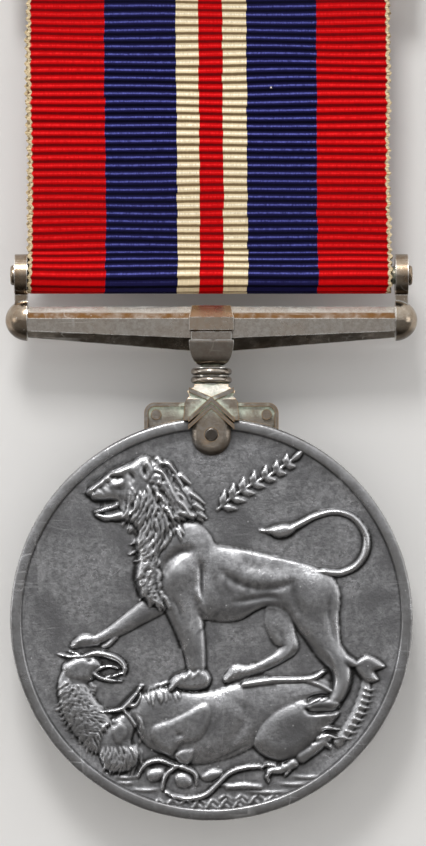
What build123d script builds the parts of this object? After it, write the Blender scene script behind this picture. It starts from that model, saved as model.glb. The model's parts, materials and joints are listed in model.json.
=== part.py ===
from build123d import *
import math
import os

# A service medal hanging from its ribbon, with the pin brooch that carries it on a coat.
# Units are millimetres. X is to the wearer's left as seen from the front, Z is up, and the
# struck front faces -Y. The origin is on the axis of the brooch's pin, where the medal is
# fastened. Three bodies hang in a chain: the brooch, the ribbon and the suspender with the disc.

# ---------------------------------------------------------------- driving dimensions
# Disc
DISC_DIAMETER = 36.0
DISC_THICKNESS = 3.0
RIM_WIDTH = 0.95
FIELD_RECESS = 0.3
RIM_ROUNDING = 0.25

# Ribbon
RIBBON_WIDTH = 32.0
RIBBON_THICKNESS = 0.5
RIBBON_DROP = 29.25          # from the fold at the brooch to the axis of the suspender's rod
LAYER_GAP = 0.02

# Suspender, in the order of its stack from the disc's edge upwards
CLAW_HEIGHT = 3.0
COLLAR_HEIGHT = 1.5
NECK_GAP = 0.2
BOSS_HEIGHT = 2.25
BAND_HEIGHT = 0.75
SADDLE_HEIGHT = 2.35
SADDLE_PROUD = 0.12
BAR_TO_ROD = 2.82
ROD_RADIUS = 0.8
ROD_HEAD_RADIUS = 0.9
ROD_HEAD_PROUD = 0.4
HEAD_ROUNDING = 0.6          # of a riveted head, as a share of how proud it stands
SIDE_GAP = 0.45              # from the ribbon's edge to the suspender's inside
LUG_RADIUS = 1.9
LUG_THICKNESS = 1.15
LUG_NECK = 1.5
KNOB_RADIUS = 1.86
KNOB_BULGE = 2.0
KNOB_DROP = 1.2              # from the bar's top to the middle of the knobs
BAR_THICKNESS = 3.0
BAR_END_DEPTH = 2.75
BAR_MIDDLE_DEPTH = 4.1
BAR_TOP_FLAT = 1.4
BAR_FOOT_FLAT = 1.2
BAR_BEVEL = 1.08
BAR_FACE_AT_END = 1.1
BAR_FACE_AT_MIDDLE = 1.8
SPINDLE_SUNK = 1.0           # how far the spindle goes down into the claw
SADDLE_WIDTH = 4.0
SADDLE_DEPTH = 3.9
SADDLE_TAPER = 0.25
SADDLE_CHAMFER = 0.15
BOSS_WIDTH = 4.0
BOSS_DEPTH = 3.9
BOSS_LIP = 0.2
BAND_WIDTH = 3.6
BAND_DEPTH = 3.4
NECK_RADIUS = 0.95
COLLAR_RADIUS = 1.85
BEAD_RADIUS = 0.315

# Claw, scrolls and rivet
CLAW_NECK = 3.0              # widths of the claw's outline, from the collar down
CLAW_EARS = 4.3
CLAW_WAIST = 3.9
CLAW_SHOULDERS = 4.7
CLAW_BASE = 5.0
NECK_STEP = 0.24             # depths of those widths below the collar
EARS_STEP = 0.6
WAIST_STEP = 1.08
SHOULDERS_STEP = 1.56
BASE_STEP = 3.24
SHOULDER_INSET = 0.3         # the shoulders lie this far behind the toes' faces
TOE_WIDTH = 3.5
TOE_THICKNESS = 1.1
TOE_REACH = 3.4              # from the disc's edge down to the foot of the toe
TOE_ROUNDING = 0.75
GABLE_HEIGHT = 1.65          # from the disc's edge up to the toe's peak
RIVET_RADIUS = 0.6
RIVET_INSET = 1.5            # from the disc's edge down to the rivet's axis
RIVET_PROUD = 0.15
RIDGE_WIDTH = 0.42
RIDGE_PROUD = 0.22
RIDGE_SPACING = 0.62
RIDGE_OVERHANG = 0.3
LEAF_RISE = 0.85
LEAF_INSET = 0.15            # of the leaves' tips from the ears, and of their faces
SCROLL_SPAN = 12.0
SCROLL_THICKNESS = 2.6
SCROLL_BORDER = 0.34
SCROLL_POCKET = 0.3
SCROLL_RISE = 1.35           # from the disc's edge up to the scroll's top
SCROLL_CURL = 0.95
SCROLL_TUCK = 1.9            # how far the blank of the scroll reaches below the disc's top
VOLUTE_RADIUS = 0.45

# Brooch
PLATE_THICKNESS = 0.8
PLATE_SIDE = 1.4
RAIL_HEIGHT = 2.2
SLOT_HEIGHT = 2.0
STRIP_HEIGHT = 2.4
SLOT_END_GAP = 0.6
SLOT_CORNER = 0.7
PLATE_CORNER = 0.9
PIN_STANDOFF = 1.9           # from the plate's back to the pin's axis
PIN_RADIUS = 0.45
PIN_TIP_RADIUS = 0.35
PIN_SHAFT = 24.0
PIN_HEEL = 1.3               # from the hinge's axis to the start of the round shaft
PIN_TAPER = 1.0
PIN_TIP = 2.6
PIN_POINT = 1.6
EYE_RADIUS = 1.1
CHEEK_THICKNESS = 0.5
BRACKET_LENGTH = 2.2
BRACKET_BASE = 0.6
HINGE_RIVET_RADIUS = 0.4
HINGE_HEAD_RADIUS = 0.7
HINGE_HEAD = 0.25
CATCH_LENGTH = 1.8
CATCH_BORE = 0.6
CATCH_WALL = 0.45
CATCH_MOUTH = 0.9
CATCH_BASE = 0.3
CATCH_BASE_LENGTH = 2.6

# Stitching on the back of the ribbon
STITCH_COUNT = 12
STITCH_LENGTH = 1.5
STITCH_RADIUS = 0.12
STITCH_ROWS = 2
ROW_SPACING = 2.6
SEAM_BELOW_FOLD = 8.0

# Clearances
SEAT = 0.02                  # between soldered or seated pieces that are curved
RUN = 0.05                   # between turning pieces
SWING_GAP = 0.3              # from the rail's foot down to the ribbon's fold
FOLD_ROOM = 0.1              # round the fold, where the ribbon's head is cut back

# ---------------------------------------------------------------- places worked out
disc_radius = DISC_DIAMETER / 2
suspender_inside = RIBBON_WIDTH + 2 * SIDE_GAP
half_inside = suspender_inside / 2

# Heights above the disc's centre
collar_foot = disc_radius + CLAW_HEIGHT
collar_top = collar_foot + COLLAR_HEIGHT
boss_foot = collar_top + NECK_GAP
boss_top = boss_foot + BOSS_HEIGHT
saddle_foot = boss_top + BAND_HEIGHT
saddle_top = saddle_foot + SADDLE_HEIGHT
bar_top = saddle_top - SADDLE_PROUD
knob_height = bar_top - KNOB_DROP
rod_height = bar_top + BAR_TO_ROD
rivet_height = disc_radius - RIVET_INSET

# Depths and heights in the row's frame
plate_back = -PIN_STANDOFF
plate_front = plate_back - PLATE_THICKNESS
mid_depth = plate_front - RUN - RIBBON_THICKNESS - LAYER_GAP
strip_foot = -STRIP_HEIGHT / 2
slot_foot = strip_foot + STRIP_HEIGHT
rail_foot = slot_foot + SLOT_HEIGHT
rail_top = rail_foot + RAIL_HEIGHT
fold_half = RIBBON_THICKNESS - LAYER_GAP
fold_height = rail_foot - SWING_GAP
rod_axis = fold_height - RIBBON_DROP
disc_centre = rod_axis - rod_height
hinge_x = PIN_SHAFT / 2 + PIN_HEEL
catch_x = hinge_x - PIN_HEEL - PIN_SHAFT - PIN_TAPER - PIN_TIP / 2
plate_half = RIBBON_WIDTH / 2 + SLOT_END_GAP + PLATE_SIDE


# ---------------------------------------------------------------- small helpers
def in_xz(outline, depth, centre=0.0):
    """Extrudes an outline drawn as (x, z) points by depth, centred on y = centre."""
    face = make_face(Polyline(*[(x, 0, z) for x, z in outline], close=True))
    solid = extrude(face, amount=depth / 2, dir=(0, 1, 0), both=True)
    return Pos(0, centre, 0) * solid


def in_yz(outline, length, centre=0.0):
    """Extrudes an outline drawn as (y, z) points by length, centred on x = centre."""
    face = make_face(Polyline(*[(0, y, z) for y, z in outline], close=True))
    solid = extrude(face, amount=length / 2, dir=(1, 0, 0), both=True)
    return Pos(centre, 0, 0) * solid


def bar_y(radius, length, x=0.0, z=0.0):
    """A round bar along Y."""
    return Pos(x, 0, z) * Rot(90, 0, 0) * Cylinder(radius, length)


def bar_x(radius, length, x=0.0, y=0.0, z=0.0):
    """A round bar along X."""
    return Pos(x, y, z) * Rot(0, 90, 0) * Cylinder(radius, length)


def mirrored(points):
    """An outline's right-hand points, from the top down, with their mirror images."""
    return points + [(-x, z) for x, z in reversed(points)]


def on_medal(shape):
    """Moves a shape from the disc's own frame to the row's frame."""
    return Pos(0, mid_depth, disc_centre) * shape


# ---------------------------------------------------------------- disc
def make_disc():
    """The struck blank: a raised rim round a sunk field on each face, pierced for the rivet."""
    half = DISC_THICKNESS / 2
    field = disc_radius - RIM_WIDTH
    blank = Rot(90, 0, 0) * Cylinder(disc_radius, DISC_THICKNESS)
    blank = fillet(blank.edges().filter_by(GeomType.CIRCLE), RIM_ROUNDING)
    for side in (-1, 1):
        sunk = Pos(0, side * half, 0) * Rot(90, 0, 0) * Cylinder(field, 2 * FIELD_RECESS)
        blank -= sunk
    return blank - bar_y(RIVET_RADIUS, 2 * DISC_THICKNESS, z=rivet_height)


# ---------------------------------------------------------------- suspender
def bar_section(x, face, depth):
    """The bar's eight-sided section at x: a top flat, bevels, two faces and a narrow foot."""
    half = BAR_THICKNESS / 2
    shoulder = bar_top - BAR_BEVEL
    right = [
        (BAR_TOP_FLAT / 2, bar_top),
        (half, shoulder),
        (half, shoulder - face),
        (BAR_FOOT_FLAT / 2, bar_top - depth),
    ]
    points = [(x, y, z) for y, z in mirrored(right)]
    return make_face(Polyline(*points, close=True))


def make_cross_bar():
    """The tapered bar below the ribbon, deepest at its middle."""
    middle = bar_section(0, BAR_FACE_AT_MIDDLE, BAR_MIDDLE_DEPTH)
    ends = [bar_section(s * half_inside, BAR_FACE_AT_END, BAR_END_DEPTH) for s in (-1, 1)]
    halves = [loft([middle, end], ruled=True) for end in ends]
    return halves[0] + halves[1]


def make_knob(side):
    """A domed end knob, flat on its inner side."""
    dome = Sphere(KNOB_RADIUS)
    dome = scale(dome, (KNOB_BULGE / KNOB_RADIUS, 1, 1))
    keep = Pos(side * KNOB_BULGE, 0, 0) * Box(2 * KNOB_BULGE, 3 * KNOB_RADIUS, 3 * KNOB_RADIUS)
    return Pos(side * half_inside, 0, knob_height) * (dome & keep)


def make_lug(side):
    """The upright that carries the rod: a round eye on a narrower neck, seated on the knob."""
    x = side * (half_inside + LUG_THICKNESS / 2)
    eye = bar_x(LUG_RADIUS, LUG_THICKNESS, x, 0, rod_height)
    neck_height = rod_height - knob_height
    neck = Pos(x, 0, knob_height + neck_height / 2) * Box(LUG_THICKNESS, LUG_NECK, neck_height)
    lug = eye + neck
    seat = Pos(side * half_inside, 0, knob_height) * scale(
        Sphere(KNOB_RADIUS + SEAT), (KNOB_BULGE / KNOB_RADIUS, 1, 1)
    )
    return lug - seat - bar_x(ROD_RADIUS, 2 * suspender_inside, z=rod_height)


def make_rod():
    """The rod that the ribbon folds round, closed by a riveted head outside each lug."""
    reach = half_inside + LUG_THICKNESS
    rod = bar_x(ROD_RADIUS, 2 * reach, z=rod_height)
    for side in (-1, 1):
        head = bar_x(ROD_HEAD_RADIUS, ROD_HEAD_PROUD, side * (reach + ROD_HEAD_PROUD / 2), 0, rod_height)
        rod += head
    outer = [e for e in rod.edges().filter_by(GeomType.CIRCLE) if abs(e.center().X) > reach + SEAT]
    return fillet(outer, ROD_HEAD_PROUD * HEAD_ROUNDING)


def make_saddle(bar):
    """The bevelled block that sits astride the bar at its middle."""
    shoulder = saddle_top - BAR_BEVEL
    front = mirrored([
        (SADDLE_WIDTH / 2 - SADDLE_TAPER, saddle_top),
        (SADDLE_WIDTH / 2, shoulder),
        (SADDLE_WIDTH / 2, saddle_foot + SADDLE_CHAMFER),
        (SADDLE_WIDTH / 2 - SADDLE_CHAMFER, saddle_foot),
    ])
    side = mirrored([
        (SADDLE_DEPTH / 2 - BAR_BEVEL, saddle_top),
        (SADDLE_DEPTH / 2, shoulder),
        (SADDLE_DEPTH / 2, saddle_foot + SADDLE_CHAMFER),
        (SADDLE_DEPTH / 2 - SADDLE_CHAMFER, saddle_foot),
    ])
    return (in_xz(front, 2 * SADDLE_DEPTH) & in_yz(side, 2 * SADDLE_WIDTH)) - bar


def bowl_face(half_width):
    """The boss's bowl seen from one side: a lip, then a quarter ellipse in to the neck."""
    bowl_top = boss_top - BOSS_LIP
    lip = Polyline(
        (-half_width, bowl_top), (-half_width, boss_top), (half_width, boss_top), (half_width, bowl_top)
    )
    reach = half_width - NECK_RADIUS
    drop = bowl_top - boss_foot
    sweeps = [
        EllipticalCenterArc((NECK_RADIUS, bowl_top), reach, drop, start_angle=270, arc_size=90),
        EllipticalCenterArc((-NECK_RADIUS, bowl_top), reach, drop, start_angle=180, arc_size=90),
    ]
    sole = Line((-NECK_RADIUS, boss_foot), (NECK_RADIUS, boss_foot))
    return make_face([lip, *sweeps, sole])


def make_boss(bar, spindle):
    """The bowl under the bar, with the band that joins it to the saddle."""
    front = Rot(90, 0, 0) * extrude(bowl_face(BOSS_WIDTH / 2), BOSS_DEPTH, both=True)
    side = Rot(0, 0, 90) * Rot(90, 0, 0) * extrude(bowl_face(BOSS_DEPTH / 2), BOSS_WIDTH, both=True)
    band = Pos(0, 0, boss_top + BAND_HEIGHT / 2) * Box(BAND_WIDTH, BAND_DEPTH, BAND_HEIGHT)
    return ((front & side) + band) - bar - spindle


def make_spindle():
    """The core that ties the boss, the collar and the claw together, seen only at the neck."""
    top = bar_top - BAR_MIDDLE_DEPTH
    foot = collar_foot - SPINDLE_SUNK
    return Pos(0, 0, (top + foot) / 2) * Cylinder(NECK_RADIUS, top - foot)


def make_collar(spindle):
    """Two round beads with a groove between them, turned in one piece."""
    middle = collar_foot + COLLAR_HEIGHT / 2
    core = COLLAR_RADIUS - BEAD_RADIUS
    collar = Pos(0, 0, middle) * Cylinder(core, COLLAR_HEIGHT)
    for side in (-1, 1):
        collar += Pos(0, 0, middle + side * COLLAR_HEIGHT / 4) * Torus(core, BEAD_RADIUS)
    return collar - spindle


# ---------------------------------------------------------------- claw
def make_toe(side):
    """One toe: a gabled tongue with a round foot, its outer edges softened."""
    half = TOE_WIDTH / 2
    foot = disc_radius - TOE_REACH
    outline = Polyline(
        (-half, foot + half), (-half, disc_radius), (0, disc_radius + GABLE_HEIGHT),
        (half, disc_radius), (half, foot + half),
    )
    sole = ThreePointArc((-half, foot + half), (0, foot), (half, foot + half))
    reach = DISC_THICKNESS / 2 + TOE_THICKNESS
    toe = Rot(90, 0, 0) * extrude(make_face([outline, sole]), amount=reach)
    outer = [e for e in toe.edges() if e.center().Y < SEAT - reach and e.center().Z < disc_radius]
    toe = fillet(outer, TOE_ROUNDING)
    return toe if side < 0 else Rot(0, 0, 180) * toe


def shoulder_outline():
    """The claw's shoulders above the disc's edge, right-hand side from the top down."""
    return [
        (CLAW_NECK / 2, collar_foot),
        (CLAW_NECK / 2, collar_foot - NECK_STEP),
        (CLAW_EARS / 2, collar_foot - EARS_STEP),
        (CLAW_WAIST / 2, collar_foot - WAIST_STEP),
        (CLAW_SHOULDERS / 2, collar_foot - SHOULDERS_STEP),
        (CLAW_BASE / 2, collar_foot - BASE_STEP),
    ]


def slat(start, end, proud):
    """A raised slat on both faces of the claw, its upper edge running from start to end."""
    outline = [start, end, (end[0], end[1] - RIDGE_WIDTH), (start[0], start[1] - RIDGE_WIDTH)]
    outer = DISC_THICKNESS / 2 + TOE_THICKNESS + proud
    return in_xz(outline, 2 * outer)


def make_claw(spindle):
    """The claw: shoulders over the disc's edge and a riveted toe down each face."""
    outer = DISC_THICKNESS / 2 + TOE_THICKNESS
    shoulder_depth = outer - SHOULDER_INSET
    claw = in_xz(mirrored(shoulder_outline()), 2 * shoulder_depth)
    brow = disc_radius + GABLE_HEIGHT
    claw &= in_yz(
        mirrored([(CLAW_NECK / 2, collar_foot), (shoulder_depth, brow), (shoulder_depth, disc_radius - 1)]),
        2 * CLAW_BASE,
    )
    claw += make_toe(-1) + make_toe(1)
    eave = TOE_WIDTH / 2 + RIDGE_OVERHANG
    for side in (-1, 1):
        for row in range(2):
            drop = row * RIDGE_SPACING
            claw += slat((0, brow + RIDGE_WIDTH / 2 - drop), (side * eave, disc_radius - drop), RIDGE_PROUD)
        leaf_tip = (side * (CLAW_EARS / 2 - LEAF_INSET), brow + LEAF_RISE + RIDGE_WIDTH / 2)
        claw += slat((0, brow + RIDGE_WIDTH / 2), leaf_tip, LEAF_INSET - SHOULDER_INSET)
    gap = Rot(90, 0, 0) * Cylinder(disc_radius + SEAT, DISC_THICKNESS)
    claw = claw - gap - spindle
    return claw - bar_y(RIVET_RADIUS, 4 * DISC_THICKNESS, z=rivet_height)


def make_claw_rivet():
    """The rivet through both toes and the disc, its ends slightly domed."""
    reach = DISC_THICKNESS / 2 + TOE_THICKNESS + RIVET_PROUD
    rivet = bar_y(RIVET_RADIUS, 2 * reach, z=rivet_height)
    return fillet(rivet.edges().filter_by(GeomType.CIRCLE), RIVET_PROUD)


def scroll_face(inset=0.0):
    """A scroll's outline: along its top, round its outer end and down past the disc's edge."""
    top = disc_radius + SCROLL_RISE - inset
    end = SCROLL_SPAN / 2 - inset
    curl = SCROLL_CURL - inset
    foot = disc_radius - SCROLL_TUCK
    root = CLAW_NECK / 4
    curve = ThreePointArc(
        (end - curl, top),
        (end - curl + curl * math.sin(math.pi / 4), top - curl + curl * math.cos(math.pi / 4)),
        (end, top - curl),
    )
    rest = Polyline((end, top - curl), (end, foot), (root, foot), (root, top), (end - curl, top))
    return make_face([curve, rest])


def make_scroll(side):
    """A scroll that rests on the disc's edge beside the claw, with a sunk panel and a volute."""
    half = SCROLL_THICKNESS / 2
    scroll = Rot(90, 0, 0) * extrude(scroll_face(), half, both=True)
    panel = Rot(90, 0, 0) * extrude(scroll_face(SCROLL_BORDER), SCROLL_POCKET, both=True)
    for face in (-1, 1):
        scroll -= Pos(0, face * half, 0) * panel
    volute_x = SCROLL_SPAN / 2 - SCROLL_BORDER / 2 - 2 * VOLUTE_RADIUS
    volute_z = disc_radius + SCROLL_RISE - SCROLL_BORDER / 2 - 2 * VOLUTE_RADIUS
    scroll += bar_y(VOLUTE_RADIUS, SCROLL_THICKNESS, volute_x, volute_z)
    scroll -= Rot(90, 0, 0) * Cylinder(disc_radius + SEAT, 2 * DISC_THICKNESS)
    scroll -= in_xz(mirrored(shoulder_outline()), 3 * SCROLL_THICKNESS)
    return scroll if side > 0 else mirror(scroll, Plane.YZ)


# ---------------------------------------------------------------- ribbon
def make_ribbon():
    """The two hanging layers as one closed form, open round the rod and rounded at the fold."""
    slab = Pos(0, mid_depth, (fold_height + rod_axis) / 2) * Box(RIBBON_WIDTH, 2 * fold_half, RIBBON_DROP)
    fold = bar_x(fold_half, RIBBON_WIDTH, 0, mid_depth, fold_height)
    inner = ROD_RADIUS + RUN
    loop = bar_x(inner + RIBBON_THICKNESS, RIBBON_WIDTH, 0, mid_depth, rod_axis)
    hole = bar_x(inner, 2 * RIBBON_WIDTH, 0, mid_depth, rod_axis)
    return slab + fold + loop - hole


def make_ribbon_head():
    """The short length of ribbon that passes over the brooch's rail."""
    outer = PLATE_THICKNESS / 2 + RUN + RIBBON_THICKNESS
    inner = PLATE_THICKNESS / 2 + RUN
    middle = (plate_front + plate_back) / 2
    height = rail_top + RUN + RIBBON_THICKNESS - rail_foot
    centre = rail_foot + height / 2
    block = Pos(0, middle, centre) * Box(RIBBON_WIDTH, 2 * outer, height)
    upper = [e for e in block.edges().filter_by(Axis.X) if e.center().Z > centre]
    block = fillet(upper, RIBBON_THICKNESS)
    room = Pos(0, middle, centre - RIBBON_THICKNESS) * Box(2 * RIBBON_WIDTH, 2 * inner, height)
    head = block - room
    swing = bar_x(fold_half + FOLD_ROOM, 2 * RIBBON_WIDTH, 0, mid_depth, fold_height)
    return head - swing


def make_stitching():
    """Two rows of stitches across the seam on the back of the ribbon."""
    stitches = []
    pitch = RIBBON_WIDTH / (STITCH_COUNT + 1)
    depth = mid_depth + fold_half + STITCH_RADIUS + SEAT
    for row in range(STITCH_ROWS):
        level = fold_height - SEAM_BELOW_FOLD - row * ROW_SPACING
        for i in range(STITCH_COUNT):
            x = (i + 1) * pitch - RIBBON_WIDTH / 2
            stitches.append(bar_x(STITCH_RADIUS, STITCH_LENGTH, x, depth, level))
    return Compound(children=stitches)


# ---------------------------------------------------------------- brooch
def make_plate():
    """The brooch's plate: a rail for the ribbon above a slot, and a strip for the pin below."""
    height = rail_top - strip_foot
    plate = Pos(0, (plate_front + plate_back) / 2, strip_foot + height / 2) * Box(
        2 * plate_half, PLATE_THICKNESS, height
    )
    plate = fillet(plate.edges().filter_by(Axis.Y), PLATE_CORNER)
    slot = Pos(0, plate_front, slot_foot + SLOT_HEIGHT / 2) * Box(
        RIBBON_WIDTH + 2 * SLOT_END_GAP, 4 * PLATE_THICKNESS, SLOT_HEIGHT
    )
    slot = fillet(slot.edges().filter_by(Axis.Y), SLOT_CORNER)
    return plate - slot


def make_bracket(rivet):
    """The hinge bracket: a base on the plate and a cheek each side of the pin's eye."""
    base = Pos(hinge_x, plate_back + BRACKET_BASE / 2, 0) * Box(
        BRACKET_LENGTH, BRACKET_BASE, 2 * (PIN_RADIUS + RUN + CHEEK_THICKNESS)
    )
    for side in (-1, 1):
        level = side * (PIN_RADIUS + RUN + CHEEK_THICKNESS / 2)
        wall = Pos(hinge_x, -PIN_STANDOFF / 2, level) * Box(BRACKET_LENGTH, PIN_STANDOFF, CHEEK_THICKNESS)
        ear = Pos(hinge_x, 0, level) * Cylinder(BRACKET_LENGTH / 2, CHEEK_THICKNESS)
        base += wall + ear
    return base - rivet


def make_hinge_rivet():
    """The upright rivet that the pin turns on."""
    half = PIN_RADIUS + RUN + CHEEK_THICKNESS
    rivet = Pos(hinge_x, 0, 0) * Cylinder(HINGE_RIVET_RADIUS, 2 * half)
    for side in (-1, 1):
        rivet += Pos(hinge_x, 0, side * (half + HINGE_HEAD / 2)) * Cylinder(HINGE_HEAD_RADIUS, HINGE_HEAD)
    outer = [e for e in rivet.edges().filter_by(GeomType.CIRCLE) if abs(e.center().Z) > half + SEAT]
    return fillet(outer, HINGE_HEAD * HEAD_ROUNDING)


def make_pin():
    """The pin: a flattened eye, a round shaft, a short taper and a sharp tip."""
    shaft_end = hinge_x - PIN_HEEL - PIN_SHAFT
    taper_end = shaft_end - PIN_TAPER
    tip_end = taper_end - PIN_TIP
    profile = [
        (hinge_x, 0),
        (hinge_x, PIN_RADIUS),
        (shaft_end, PIN_RADIUS),
        (taper_end, PIN_TIP_RADIUS),
        (tip_end, PIN_TIP_RADIUS),
        (tip_end - PIN_POINT, 0),
    ]
    face = make_face(Polyline(*[(x, r, 0) for x, r in profile], close=True))
    shaft = revolve(face, Axis.X)
    eye = Pos(hinge_x, 0, 0) * Cylinder(EYE_RADIUS, 2 * PIN_RADIUS)
    hole = Pos(hinge_x, 0, 0) * Cylinder(HINGE_RIVET_RADIUS + RUN, 4 * PIN_RADIUS)
    return shaft + eye - hole


def make_catch():
    """The C-shaped catch on a foot, its mouth towards the coat, where the pin swings out."""
    outer = CATCH_BORE + CATCH_WALL
    ring = bar_x(outer, CATCH_LENGTH, catch_x)
    foot = Pos(catch_x, -PIN_STANDOFF / 2, 0) * Box(CATCH_LENGTH, PIN_STANDOFF, 2 * CATCH_BORE)
    base = Pos(catch_x, plate_back + CATCH_BASE / 2, 0) * Box(CATCH_BASE_LENGTH, CATCH_BASE, 2 * outer)
    bore = bar_x(CATCH_BORE, 2 * CATCH_LENGTH, catch_x)
    mouth = Pos(catch_x, outer, 0) * Box(2 * CATCH_LENGTH, 2 * outer, CATCH_MOUTH)
    return ring + foot + base - bore - mouth


# ---------------------------------------------------------------- all the pieces
def make_all():
    """Every piece by its node name, in the row's frame."""
    bar = make_cross_bar()
    spindle = make_spindle()
    hinge_rivet = make_hinge_rivet()
    medal = {
        "disc": make_disc(),
        "claw": make_claw(spindle),
        "claw_rivet": make_claw_rivet(),
        "left_scroll": make_scroll(-1),
        "right_scroll": make_scroll(1),
        "collar": make_collar(spindle),
        "spindle": spindle,
        "centre_boss": make_boss(bar, spindle),
        "saddle": make_saddle(bar),
        "cross_bar": bar,
        "left_knob": make_knob(-1),
        "right_knob": make_knob(1),
        "left_lug": make_lug(-1),
        "right_lug": make_lug(1),
        "ribbon_rod": make_rod(),
    }
    pieces = {name: on_medal(shape) for name, shape in medal.items()}
    pieces.update({
        "ribbon": make_ribbon(),
        "ribbon_stitching": make_stitching(),
        "ribbon_head": make_ribbon_head(),
        "brooch_plate": make_plate(),
        "hinge_bracket": make_bracket(hinge_rivet),
        "hinge_rivet": hinge_rivet,
        "pin_catch": make_catch(),
        "brooch_pin": make_pin(),
    })
    return pieces


os.makedirs("parts", exist_ok=True)
for node, shape in make_all().items():
    export_step(shape, f"parts/{node}.step")
print("disc centre", disc_centre, "rod axis", rod_axis, "fold", fold_height, "mid depth", mid_depth)
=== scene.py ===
"""The looks of a service medal: struck disc, suspender, corded ribbon and pin brooch.

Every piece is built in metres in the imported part's own frame, where +Z is up and the struck front
faces -Y. The classes hold their sizes in millimetres, and MM turns those into metres.
"""

import json
import logging
import math
from collections.abc import Callable, Sequence
from dataclasses import dataclass, replace
from enum import Enum

import bpy
import numpy as np
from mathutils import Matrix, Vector

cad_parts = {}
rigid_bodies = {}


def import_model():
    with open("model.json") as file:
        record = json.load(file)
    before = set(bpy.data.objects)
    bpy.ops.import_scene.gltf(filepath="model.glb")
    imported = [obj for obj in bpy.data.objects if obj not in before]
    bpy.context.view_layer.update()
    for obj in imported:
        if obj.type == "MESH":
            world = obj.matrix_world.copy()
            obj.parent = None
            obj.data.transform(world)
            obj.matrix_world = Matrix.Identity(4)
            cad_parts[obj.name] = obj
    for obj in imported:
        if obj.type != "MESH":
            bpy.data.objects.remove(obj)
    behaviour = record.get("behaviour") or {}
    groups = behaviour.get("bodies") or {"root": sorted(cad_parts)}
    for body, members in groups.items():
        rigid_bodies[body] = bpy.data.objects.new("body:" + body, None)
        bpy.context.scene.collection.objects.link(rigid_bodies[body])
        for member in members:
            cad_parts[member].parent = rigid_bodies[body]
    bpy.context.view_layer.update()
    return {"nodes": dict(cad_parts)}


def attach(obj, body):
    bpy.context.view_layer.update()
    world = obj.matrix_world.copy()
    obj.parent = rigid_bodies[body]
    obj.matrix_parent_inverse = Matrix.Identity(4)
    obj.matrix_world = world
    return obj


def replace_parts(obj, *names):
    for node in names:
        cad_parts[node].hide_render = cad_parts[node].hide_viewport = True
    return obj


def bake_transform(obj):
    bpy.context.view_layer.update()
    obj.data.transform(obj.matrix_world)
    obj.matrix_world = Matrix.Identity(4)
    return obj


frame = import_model()

MM = 0.001
Triple = tuple[float, float, float]
Colour = Triple
Points = Sequence[tuple[float, ...]]
Piece = bpy.types.Object
Material = bpy.types.Material
Socket = bpy.types.NodeSocket
log = logging.getLogger("medal")


class Body(str, Enum):
    """The bodies that the new pieces ride on."""

    BROOCH = "brooch"
    DROP = "ribbon_drop"
    MEDAL = "medal"


class Slot(str, Enum):
    """The names of the record's material slots."""

    DISC = "disc_metal"
    CLOTH = "ribbon_cloth"
    THREAD = "thread"


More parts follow.
